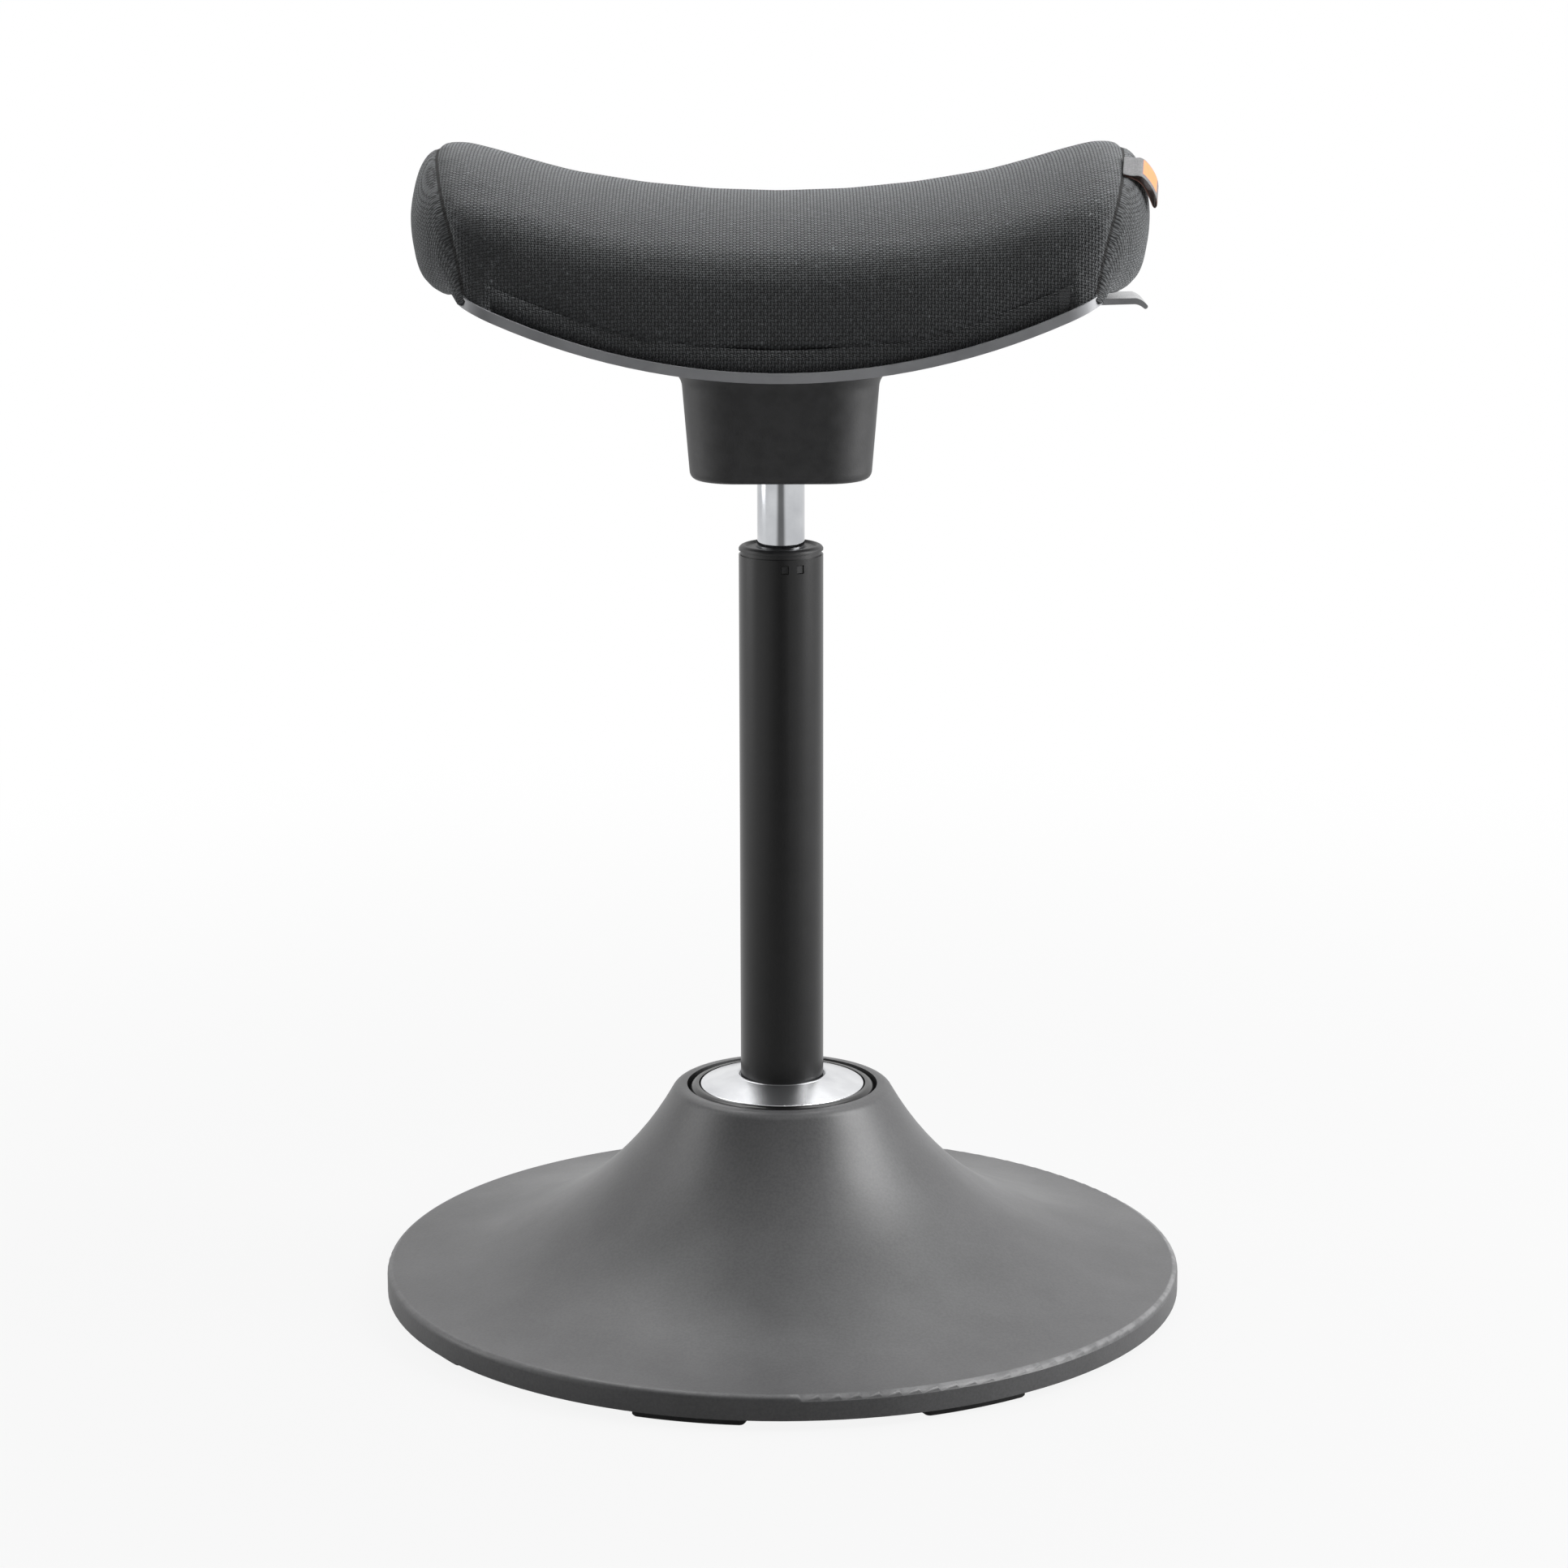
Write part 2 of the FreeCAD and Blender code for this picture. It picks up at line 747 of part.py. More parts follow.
def pressure_tube():
    """Chromed gas tube: bore, closed top with the valve bore, and a taper that wedges in the seat."""
    valve_bottom = tube_top - 16
    pin_bore = of_sheet("pin_radius") + 0.1
    turn(new_body("pressure_tube"), [
        (tube_bore, tube_bottom),
        (tube_radius - 0.8, tube_bottom),
        (tube_radius, tube_bottom + 0.8),
        (tube_radius, of_sheet("taper_start")),
        (of_sheet("taper_end_radius"), tube_top - 1),
        (of_sheet("taper_end_radius") - 1, tube_top),
        (pin_bore, tube_top),
        (pin_bore, valve_bottom),
        (tube_bore, valve_bottom),
    ])


def rod_guide():
    ring_piece("rod_guide", rod_radius + 0.1, tube_bore, tube_bottom + 2, tube_bottom + 17)


def release_pin():
    pin, bottom = of_sheet("pin_radius"), tube_top - 13
    head_z = of_sheet("pivot_z") - 3.3
    turn(new_body("release_pin"), [
        (0, bottom),
        (pin, bottom),
        (pin, head_z - 2.5),
        (pin + 2, head_z - 2.5),
        (pin + 2, head_z - 1),
        (pin + 1, head_z - 0.4),
        (0, head_z - 0.4),
    ])


# Seat carrier

arc_z, pan_radius = of_sheet("arc_centre_z"), of_sheet("pan_radius")
pan_floor = of_sheet("pan_floor")
pan_half_width, pan_half_depth = of_sheet("pan_half_width"), of_sheet("pan_half_depth")
pan_wall = of_sheet("pan_wall")
board_under = pan_radius - pan_floor
board_top = board_under - of_sheet("board_thickness")
bolt_x, bolt_y = of_sheet("bolt_x"), of_sheet("bolt_y")
flange_z = of_sheet("flange_z")
flange_top = flange_z + of_sheet("flange_thickness")
BOLT_RADIUS = 4
SCREW_PLACES = [(-128, -80), (-128, 80), (128, -80), (128, 80)]


def arc_height(radius, x):
    """Height at x of an arc about the seat's axis, which all its layers share."""
    return arc_z - leg(radius, x)


def band(body, lower, upper, half_width, half_depth, corner):
    """A curved layer across the seat between two of those arcs, with round corners in plan."""
    low = arc_height(lower, 0) - 1
    high = arc_height(upper, half_width) + 1
    plan = draw(body, "XY", rounded_rectangle(half_width, half_depth, corner), height=low)
    extrude(body, plan, high - low)
    reach = half_width + 5
    for radius, level in ((lower, low - 5), (upper, high + 25)):
        outline = [
            (-reach, arc_height(radius, reach), radius, LEFT),
            (reach, arc_height(radius, reach)),
            (reach, level),
            (-reach, level),
        ]
        extrude(body, draw(body, "XZ", outline), half_depth * 3, cut=True, both=True)


def bolt_holes(body, height):
    circles = [(bolt_x * a, bolt_y * b, BOLT_RADIUS + 0.1) for a in (-1, 1) for b in (-1, 1)]
    extrude(body, draw(body, "XY", circles=circles, height=height), 60, cut=True, back=True)


def square_to_pan(x, y, steps):
    """Cylinders (radius, start, length) on one axis square to the pan, measured from its underside."""
    lean = math.degrees(math.asin(x / SIZES["pan_radius"]))
    centre = FreeCAD.Vector(0, 0, SIZES["arc_centre_z"])
    frame = FreeCAD.Placement(centre, FreeCAD.Rotation(FreeCAD.Vector(0, 1, 0), -lean))
    cylinders = []
    for radius, start, length in steps:
        cylinder = solid("Cylinder", Radius=radius, Height=length)
        base = FreeCAD.Vector(0, y, start - SIZES["pan_radius"])
        cylinder.Placement = frame * FreeCAD.Placement(base, FreeCAD.Rotation())
        cylinders.append(cylinder)
    return cylinders


def shell_screws():
    """Four screws through the pan's floor into the board."""
    group([fused(*square_to_pan(*place, ((4, -2, 2), (1.8, -1, 11)))) for place in SCREW_PLACES],
          "shell_screws")


def screw_holes():
    return fused(*[square_to_pan(*place, [(1.8, -5, 15)])[0] for place in SCREW_PLACES])


def seat_shell():
    """Moulded tray with a low rim, a boss for the carrier and a notch that clears the paddle."""
    body = doc.addObject("PartDesign::Body", "tray")
    corner = of_sheet("pan_corner")
    rim = pan_radius - of_sheet("rim_height")
    band(body, pan_radius, rim, pan_half_width, pan_half_depth, corner)
    boss_x, boss_y = 52, 45
    boss = draw(body, "XY", [(-boss_x, -boss_y), (boss_x, -boss_y), (boss_x, boss_y), (-boss_x, boss_y)],
                height=flange_top)
    extrude(body, boss, arc_z - board_under - flange_top)
    bolt_holes(body, flange_top)
    start, half = of_sheet("notch_start"), of_sheet("notch_half")
    notch = draw(body, "XY", [(start, -half), (pan_half_width + 5, -half), (pan_half_width + 5, half),
                              (start, half)], height=arc_height(pan_radius, start) - 2)
    extrude(body, notch, arc_height(board_under, pan_half_width) - arc_height(pan_radius, start),
            cut=True, back=True)
    inside = doc.addObject("PartDesign::Body", "inside")
    band(inside, board_under, board_under - 20, pan_half_width - pan_wall, pan_half_depth - pan_wall,
         corner - pan_wall)
    keep(cut_from(cut_from(body, inside), screw_holes()), "seat_shell")


def seat_board():
    body = doc.addObject("PartDesign::Body", "board")
    band(body, board_under, board_top, of_sheet("board_half_width"), of_sheet("board_half_depth"),
         of_sheet("pan_corner") - 5)
    bolt_holes(body, flange_top)
    keep(cut_from(body, screw_holes()), "seat_board")


def seat_bracket():
    """Welded carrier: a tapered socket, a channel for the paddle's arm and bolting flanges."""
    half_channel, wall, floor_z = 28, 3, tube_top - 4
    half_length, pin = 51, of_sheet("pin_radius")
    channel = doc.addObject("PartDesign::Body", "channel")
    flanges = draw(channel, "XY", rounded_rectangle(half_length, bolt_y + 9, 18), height=flange_z)
    extrude(channel, flanges, of_sheet("flange_thickness"))
    for half, bottom, cut in ((half_channel, floor_z - wall, False), (half_channel - wall, floor_z, True)):
        outline = [(-half, bottom), (half, bottom), (half, flange_top), (-half, flange_top)]
        extrude(channel, draw(channel, "YZ", outline), half_length * 2, cut=cut, both=True)
    circles = [(bolt_x * a, bolt_y * b, BOLT_RADIUS + 0.1) for a in (-1, 1) for b in (-1, 1)]
    extrude(channel, draw(channel, "XY", circles=circles, height=flange_z), 10, cut=True, back=True)
    pivot = draw(channel, "XZ", circles=[(of_sheet("pivot_x"), of_sheet("pivot_z"), pin)])
    extrude(channel, pivot, 100, cut=True, both=True)
    socket_bottom = of_sheet("taper_start") + 3.5
    socket = doc.addObject("PartDesign::Body", "socket")
    turn(socket, [(10, socket_bottom), (18, socket_bottom), (18, floor_z), (10, floor_z)])
    fit = 0.02
    taper = solid("Cone", (0, 0, of_sheet("taper_start")), Radius1=tube_radius + fit,
                  Radius2=of_sheet("taper_end_radius") + fit, Height=tube_top - of_sheet("taper_start") - 1)
    keep(cut_from(fused(channel, socket), taper), "seat_bracket")


def mount_bolts():
    bolts = []
    for a in (-1, 1):
        for b in (-1, 1):
            shank = solid("Cylinder", (bolt_x * a, bolt_y * b, flange_z), Radius=BOLT_RADIUS, Height=15)
            head = solid("Prism", (bolt_x * a, bolt_y * b, flange_z - 5), Circumradius=7, Height=5)
            head.Polygon = 6
            bolts.append(fused(shank, head))
    group(bolts, "mount_bolts")


def loft_through(body, sketches, cut=False):
    feature = body.newObject("PartDesign::SubtractiveLoft" if cut else "PartDesign::AdditiveLoft", "loft")
    feature.Profile = sketches[0]
    feature.Sections = sketches[1:]
    feature.Ruled = False
    return feature


def neck_cover():
    """Moulded neck under the seat: closed below, slightly tapered and flared out to the pan."""
    width, depth = of_sheet("neck_half_width"), of_sheet("neck_half_depth")
    wall, bottom = of_sheet("neck_wall"), of_sheet("neck_bottom")
    edge = [(0, -5, 22), (1.6, -1.4, 25.5), (5, 0, 27)]
    sides = [(5, 0, 27), (54, 4, 30)]
    flare = [(54, 4, 30), (61, 6.5, 32), (66, 12.5, 37), (74, 24, 46)]

    def sections(stations, thickness=0):
        return [
            draw(body, "XY", rounded_rectangle(width + grow - thickness, depth + grow - thickness,
                                               corner - thickness), height=bottom + rise)
            for rise, grow, corner in stations
        ]

    body = doc.addObject("PartDesign::Body", "neck")
    for stations in (edge, sides, flare):
        loft_through(body, sections(stations))
    for stations in (sides, flare):
        loft_through(body, sections(stations, wall), cut=True)
    passage = draw(body, "XY", circles=[(0, 0, tube_radius + 1.5)], height=bottom)
    extrude(body, passage, 10, cut=True, back=True)
    pan = solid("Cylinder", (0, 200, arc_z), (0, 0, 90), Radius=pan_radius + of_sheet("neck_gap"),
                Height=400)
    arm_slot = solid("Box", (of_sheet("pivot_x"), -9, of_sheet("pivot_z") - 6), Length=60, Width=18,
                     Height=60)
    keep(cut_from(cut_from(body, pan), arm_slot), "neck_cover")


# Cushion

CUSHION_STATIONS = [
    # (distance from the middle, half depth against the widest, drop of the top, underside,
    # width over which the lower corner is rounded)
    (0, 0, 0, 580, 3),
    (40, 0, 0, 581, 3),
    (80, 0, 0, 587, 3),
    (120, -1, 0, 597, 3),
    (150, -3, -0.5, 606, 4),
    (170, -6, -0.2, 612, 8),
    (183, -10, 0.6, 615, 18),
    (193, -18, 3, 617, 32),
    (201, -32, 8.5, 621, 42),
    (206.5, -48, 16, 627, 46),
]
END_HALF_DEPTH, END_TOP, END_UNDER, END_CORNER = 46, 673, 638, 26


def curve_points(side, height, half, corner):
    """Places along one side of a cushion section, from its hem to the start of its crown."""
    under, tall = height
    return [
        (side * (half - corner), under),
        (side * (half + 1.5 - corner * 0.28), under + tall * (0.27 - corner * 0.0035)),
        (side * half, under + tall * 0.5),
        (side * half * 0.95, under + tall * 0.653),
        (side * half * 0.85, under + tall * 0.75),
    ]


def cushion_section(x, half, top, under, corner):
    """Flat below, bowed sides, round shoulders and a crown, as one wire across the seat."""
    def at(place):
        return FreeCAD.Vector(x, *place)

    height = (under, top - under)
    front, rear = ([at(p) for p in curve_points(side, height, half, corner)] for side in (-1, 1))
    edges = [
        Part.LineSegment(rear[0], front[0]),
        Part.Arc(*front[0:3]),
        Part.Arc(*front[2:5]),
        Part.Arc(front[4], at((0, top)), rear[4]),
        Part.Arc(rear[4], rear[3], rear[2]),
        Part.Arc(rear[2], rear[1], rear[0]),
    ]
    return Part.Wire([edge.toShape() for edge in edges])


def cushion_form(inset):
    """The whole cushion, or what lies an inset under its cover."""
    half, end = sheet.cushion_half_depth, sheet.cushion_end
    crown, radius = sheet.crown_z, sheet.crown_radius
    stations = []
    for x, grow, drop, under, corner in CUSHION_STATIONS:
        top = crown + radius - math.sqrt(radius**2 - x**2) - drop
        stations.append((x * (1 - inset / end), half + grow - inset, top - inset, under, corner))
    stations.append((end - inset, END_HALF_DEPTH - inset, END_TOP - inset, END_UNDER + inset, END_CORNER))
    mirrored = [(-x, *rest) for x, *rest in reversed(stations[1:])]
    return Part.makeLoft([cushion_section(*station) for station in mirrored + stations], True, True)


def rounded_block(half_x, half_y, corner):
    """A tall block with round upright corners."""
    block = Part.makeBox(half_x * 2, half_y * 2, 160, FreeCAD.Vector(-half_x, -half_y, 500))
    return block.makeFillet(corner, [edge for edge in block.Edges if is_upright(edge)])


def about_seat_axis(radius):
    """The cylinder whose underside is one of the seat's arcs."""
    end = FreeCAD.Vector(0, -200, sheet.arc_centre_z)
    return Part.makeCylinder(radius, 400, end, FreeCAD.Vector(0, 1, 0))


def cushion():
    """Foam on the board, wrapped in a cover that is drawn down round the board's edge and whose
    ends hang past the pan."""
    reach, thickness = sheet.pan_half_width + sheet.cap_gap, sheet.cover_thickness
    below = Part.makeBox(reach * 2, 400, 160, FreeCAD.Vector(-reach, -200, 500))
    carrier = below.cut(about_seat_axis(board_top.value))
    outside, inside = cushion_form(0), cushion_form(thickness)
    gap, corner = 0.2, sheet.pan_corner - 7
    hole = rounded_block(sheet.board_half_width + gap, sheet.board_half_depth + gap, corner)
    skirt = rounded_block(hole.BoundBox.XMax + thickness, hole.BoundBox.YMax + thickness, corner + thickness)
    skirt = skirt.common(about_seat_axis(board_under.value - 0.3)).cut(about_seat_axis(board_top.value))
    hem = cushion_form(thickness / 3).common(about_seat_axis(board_top.value))
    hem = hem.common(rounded_block(sheet.pan_half_width - 2, sheet.pan_half_depth - 2, corner + 5))
    wrap = skirt.fuse(hem.cut(about_seat_axis(board_top.value - thickness))).cut(hole)
    foam = inside.cut(carrier).cut(wrap)
    cover = outside.cut(inside).cut(carrier).fuse(wrap).removeSplitter()
    for label, form in (("foam_pad", foam), ("seat_cover", cover)):
        piece = doc.addObject("Part::Feature", label)
        piece.Shape = form
        keep(piece, label)
    seam_tag(outside)


def seam_tag(outside):
    """Folded ribbon whose ends are caught in the end seam, on the front shoulder of the cushion."""
    tag = doc.addObject("PartDesign::Body", "ribbon")
    width = 25
    loop = draw(tag, "XZ", [(-1, 0.3), (5.5, -1.9), (7.4, -0.5), (10.5, -1.4), (14, -5.6), (17.3, -10.3),
                            (19.4, -17), (18.6, -21.6), (16.9, -22), (15.2, -20.5), (13.6, -14.5),
                            (10, -6.5), (6, -3.5), (-1, -0.7)])
    extrude(tag, loop, width, both=True)
    hollow = draw(tag, "XZ", [(8, -2.6), (10.2, -2.6), (13.2, -6.2), (16.3, -10.8), (18.3, -17.2),
                              (17.7, -20.6), (16.3, -19.8), (14.6, -14.1), (11, -6)])
    extrude(tag, hollow, width + 2, cut=True, both=True)
    tag.Placement = FreeCAD.Placement(FreeCAD.Vector(195.2, -54.5, 687), FreeCAD.Rotation(-6, 0, 20))
    doc.recompute()
    piece = doc.addObject("Part::Feature", "seam_tag")
    piece.Shape = tag.Shape.cut(outside)
    keep(piece, "seam_tag")


# Release paddle

pivot_x, pivot_z = of_sheet("pivot_x"), of_sheet("pivot_z")


def release_lever():
    """Arm over the gas tube's valve, cranked out under the pan to a flat paddle."""
    body = new_body("release_lever")
    half_arm = 3.3
    arm = draw(body, "XZ", [
        (-5, pivot_z - half_arm),
        (pivot_x, pivot_z - half_arm),
        (60, 561.2),
        (118, 578),
        (164, 594.8),
        (178, 598.5),
        (178, 604),
        (164, 603),
        (150, 594.6),
        (118, 584),
        (58, 567.4),
        (50, pivot_z + half_arm),
        (-5, pivot_z + half_arm),
    ])
    extrude(body, arm, of_sheet("arm_width"), both=True)
    eye = draw(body, "XZ", circles=[(pivot_x, pivot_z, 6)])
    extrude(body, eye, of_sheet("arm_width"), both=True)
    knuckle = draw(body, "XZ", [(163, 597.8), (179, 598.2), (179, 604.4), (163, 602.8)])
    extrude(body, knuckle, 20, both=True)
    blade = draw(body, "XZ", [
        (178.5, 603.5),
        (205, 604.2, 9, RIGHT),
        (211, 601),
        (213, 602.6, 12, LEFT),
        (206, 607.7),
        (178.5, 607.3),
    ])
    extrude(body, blade, of_sheet("paddle_width"), both=True)
    finish_edges(body, "Fillet", lambda edge: lies_along_y(edge, 205), Radius=1.2)
    hole = draw(body, "XZ", circles=[(pivot_x, pivot_z, of_sheet("pin_radius") + 0.05)])
    extrude(body, hole, 40, cut=True, both=True)


def lever_pin():
    half, head = 28, 2.5
    pin = solid("Cylinder", (pivot_x, half + head, pivot_z), (0, 0, 90), Radius=of_sheet("pin_radius"),
                Height=(half + head) * 2)
    heads = [
        solid("Cylinder", (pivot_x, y, pivot_z), (0, 0, 90), Radius=of_sheet("pin_radius") + 1.2,
              Height=head)
        for y in (half + head, -half)
    ]
    keep(fused(pin, *heads), "lever_pin")


for build in (
    base_cover, base_plate, cover_screws, glide_pads, pivot_housing, housing_bolts, bush_shell, flex_bush,
    seal_ring, column_hub, hub_dish, column_tube, guide_sleeve, column_disc, thrust_bearing, piston_rod,
    piston, bump_stop, pressure_tube, rod_guide, release_pin, seat_shell, seat_board, seat_bracket,
    mount_bolts, shell_screws, neck_cover, cushion, release_lever, lever_pin,
):
    build()
doc.recompute()

for thing in doc.Objects:
    if "Invalid" in thing.State or "Error" in thing.State:
        raise RuntimeError(f"{thing.Label} failed: {thing.State}")
os.makedirs("parts", exist_ok=True)
for piece in pieces:
    if piece.Shape.isNull() or not piece.Shape.isValid() or not piece.Shape.Solids:
        raise RuntimeError(f"{piece.Label} has no valid shape")
    piece.Shape.exportStep(f"parts/{piece.Label}.step")
    box = piece.Shape.BoundBox
    print(f"{piece.Label}: {len(piece.Shape.Solids)} solids, {piece.Shape.Volume / 1000:.1f} cm3, "
          f"z {box.ZMin:.1f} to {box.ZMax:.1f}")
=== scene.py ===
"""Looks of the perch stool: fabric saddle cushion, satin plastics, powder coat, chrome and rubber."""
import math

import bmesh
import bpy
import numpy as np
from mathutils import Matrix, Vector


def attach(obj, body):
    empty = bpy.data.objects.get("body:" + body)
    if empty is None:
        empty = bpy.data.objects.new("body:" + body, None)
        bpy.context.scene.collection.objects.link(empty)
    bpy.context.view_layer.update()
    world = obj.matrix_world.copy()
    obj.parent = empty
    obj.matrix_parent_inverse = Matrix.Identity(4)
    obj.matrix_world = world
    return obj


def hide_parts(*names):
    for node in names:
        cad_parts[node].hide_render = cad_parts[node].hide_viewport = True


MM = 0.001

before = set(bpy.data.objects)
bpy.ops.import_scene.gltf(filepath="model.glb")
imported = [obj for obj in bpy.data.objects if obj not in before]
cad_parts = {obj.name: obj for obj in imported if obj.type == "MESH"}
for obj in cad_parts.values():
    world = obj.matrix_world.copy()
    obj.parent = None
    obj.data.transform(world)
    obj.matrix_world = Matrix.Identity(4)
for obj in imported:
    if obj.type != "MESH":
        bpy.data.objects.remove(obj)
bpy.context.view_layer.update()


# Small helpers

def linear(hex_colour, alpha=1.0):
    """An sRGB hex colour as the linear values that a shader takes."""
    parts = [int(hex_colour[n:n + 2], 16) / 255 for n in (0, 2, 4)]
    return [p / 12.92 if p <= 0.04045 else ((p + 0.055) / 1.055) ** 2.4 for p in parts] + [alpha]


def add(tree, kind, inputs=None, **settings):
    """Adds a node: settings are its properties, inputs are values or the sockets that feed them."""
    made = tree.nodes.new(kind)
    for name, value in settings.items():
        setattr(made, name, value)
    for name, value in (inputs or {}).items():
        if isinstance(value, bpy.types.NodeSocket):
            tree.links.new(value, made.inputs[name])
        else:
            made.inputs[name].default_value = value
    return made


def new_finish(name, **surface):
    """A material with its Principled surface; returns it, its tree, the surface and object coordinates."""
    made = bpy.data.materials.new(name)
    made.use_nodes = True
    tree = made.node_tree
    shader = tree.nodes["Principled BSDF"]
    for socket, value in surface.items():
        shader.inputs[socket.replace("_", " ")].default_value = value
    place = add(tree, "ShaderNodeTexCoord").outputs["Object"]
    return made, tree, shader, place


def mottled(tree, place, low, high, size_mm, detail=4.0, spread=(0.35, 0.65)):
    """A soft noise between two colours, with patches of a given size."""
    noise = add(tree, "ShaderNodeTexNoise", {"Vector": place, "Scale": 1 / (size_mm * MM), "Detail": detail})
    ramp = add(tree, "ShaderNodeValToRGB", {"Fac": noise.outputs["Fac"]})
    ramp.color_ramp.elements[0].position, ramp.color_ramp.elements[1].position = spread
    ramp.color_ramp.elements[0].color, ramp.color_ramp.elements[1].color = low, high
    return ramp.outputs["Color"]


def grained(tree, place, shader, grain_mm, depth_mm, detail=2.0):
    """Fine grain on the surface as bump."""
    noise = add(tree, "ShaderNodeTexNoise", {"Vector": place, "Scale": 1 / (grain_mm * MM),
                                             "Detail": detail})
    bump = add(tree, "ShaderNodeBump", {"Height": noise.outputs["Fac"], "Strength": 1.0,
                                        "Distance": depth_mm * MM})
    tree.links.new(bump.outputs["Normal"], shader.inputs["Normal"])


def between(tree, value, low, high, to_low=0.0, to_high=1.0):
    """A value mapped smoothly from one range to another."""
    node = add(tree, "ShaderNodeMapRange", {"Value": value, "From Min": low, "From Max": high,
                                            "To Min": to_low, "To Max": to_high},
               interpolation_type="SMOOTHSTEP")
    return node.outputs["Result"]


def maths(tree, operation, *values):
    """One step of arithmetic on values or sockets."""
    return add(tree, "ShaderNodeMath", dict(enumerate(values)), operation=operation).outputs[0]


def band(tree, value, rise, fall):
    """One from the pair of values where it rises to the pair where it falls, and nothing outside them."""
    return maths(tree, "MULTIPLY", between(tree, value, *rise), between(tree, value, *fall, 1.0, 0.0))


def placed(name, content):
    """A new object in the scene, holding a mesh, a lamp or a camera."""
    made = bpy.data.objects.new(name, content)
    bpy.context.collection.objects.link(made)
    return made


def finished_mesh(shape, name, finish):
    """A bmesh made into a smooth mesh with its finish, its faces turned outward."""
    bmesh.ops.recalc_face_normals(shape, faces=shape.faces)
    mesh = bpy.data.meshes.new(name)
    shape.to_mesh(mesh)
    shape.free()
    mesh.materials.append(finish)
    mesh.shade_smooth()
    return mesh


# Finishes

# The edge of the foot that is painted pale, partly as rubbed wear and partly as a painted edge highlight, as
# radii and as heights over the floor
RIM_WEAR_AND_HIGHLIGHT_RISE, RIM_WEAR_AND_HIGHLIGHT_FALL, RIM_WEAR_AND_HIGHLIGHT_HEIGHT = (0.2372, 0.2386), (0.2398, 0.2409), (0.0165, 0.0185)


def moulded_foot():
    """Polypropylene moulded against a satin tool: dull, faintly cloudy, pale on the rim's edge, partly
    rubbed and partly a painted edge highlight.
    """
    made, tree, shader, place = new_finish("foot_moulding", Roughness=0.48, IOR=1.49)
    cloudy = mottled(tree, place, linear("4a4a4b"), linear("545455"), 38)
    speckled = mottled(tree, place, linear("464647"), linear("5a5a5b"), 1.6, detail=2)
    body = add(tree, "ShaderNodeMixRGB", {"Fac": 0.35, "Color1": cloudy, "Color2": speckled})
    apart = add(tree, "ShaderNodeSeparateXYZ", {"Vector": place})
    flat = add(tree, "ShaderNodeCombineXYZ", {"X": apart.outputs["X"], "Y": apart.outputs["Y"]})
    radius = add(tree, "ShaderNodeVectorMath", {0: flat.outputs[0]}, operation="LENGTH").outputs["Value"]
    near_edge = band(tree, radius, RIM_WEAR_AND_HIGHLIGHT_RISE, RIM_WEAR_AND_HIGHLIGHT_FALL)
    near_edge = maths(tree, "MULTIPLY", near_edge, between(tree, apart.outputs["Z"], *RIM_WEAR_AND_HIGHLIGHT_HEIGHT))
    # Painted highlight: the pale edge grows stronger towards the right, the side that is lit more brightly
    near_edge = maths(tree, "MULTIPLY", near_edge, between(tree, apart.outputs["X"], 0.0, 0.14, 0.3, 1.0))
    scuffs = add(tree, "ShaderNodeTexNoise", {"Vector": place, "Scale": 120.0, "Detail": 8.0})
    rubbed_and_highlit = maths(tree, "MULTIPLY", near_edge, between(tree, scuffs.outputs["Fac"], 0.35, 0.62, 0.35, 1.0))
    # Pale colour on the rim's edge: rubbed wear together with a painted edge highlight
    worn = add(tree, "ShaderNodeMixRGB", {"Fac": rubbed_and_highlit, "Color1": body.outputs[0],
                                          "Color2": linear("7c7c7d")})
    tree.links.new(worn.outputs[0], shader.inputs["Base Color"])
    streaks = add(tree, "ShaderNodeTexNoise", {"Vector": place, "Scale": 9.0, "Detail": 6.0})
    tree.links.new(between(tree, streaks.outputs["Fac"], 0.3, 0.7, 0.36, 0.47), shader.inputs["Roughness"])
    grained(tree, place, shader, 0.9, 0.035)
    return made


def moulded_neck():
    """Glass-filled nylon with a spark-eroded grain: darker and duller than the foot."""
    made, tree, shader, place = new_finish("neck_moulding", Roughness=0.5, IOR=1.53)
    tree.links.new(mottled(tree, place, linear("2c2c2d"), linear("363637"), 9), shader.inputs["Base Color"])
    grained(tree, place, shader, 0.8, 0.05)
    return made


def moulded_pan():
    """Light grey ABS tray with a satin face and a few handling marks."""
    made, tree, shader, place = new_finish("pan_moulding", Roughness=0.36, IOR=1.52)
    tree.links.new(mottled(tree, place, linear("949598"), linear("a4a5a8"), 26), shader.inputs["Base Color"])
    grained(tree, place, shader, 0.8, 0.02)
    return made


def black_nylon():
    """Moulded guide and cap of the column: near black, low sheen."""
    made, tree, shader, place = new_finish("black_nylon", Roughness=0.42, IOR=1.53)
    tree.links.new(mottled(tree, place, linear("161617"), linear("202021"), 5), shader.inputs["Base Color"])
    grained(tree, place, shader, 0.7, 0.02)
    return made


def powder_coat(name, dark, light, roughness):
    """Baked powder coat, with the slight orange peel that breaks its highlights."""
    made, tree, shader, place = new_finish(name, Roughness=roughness, IOR=1.5)
    tree.links.new(mottled(tree, place, linear(dark), linear(light), 12), shader.inputs["Base Color"])
    grained(tree, place, shader, 1.1, 0.03, detail=3)
    return made


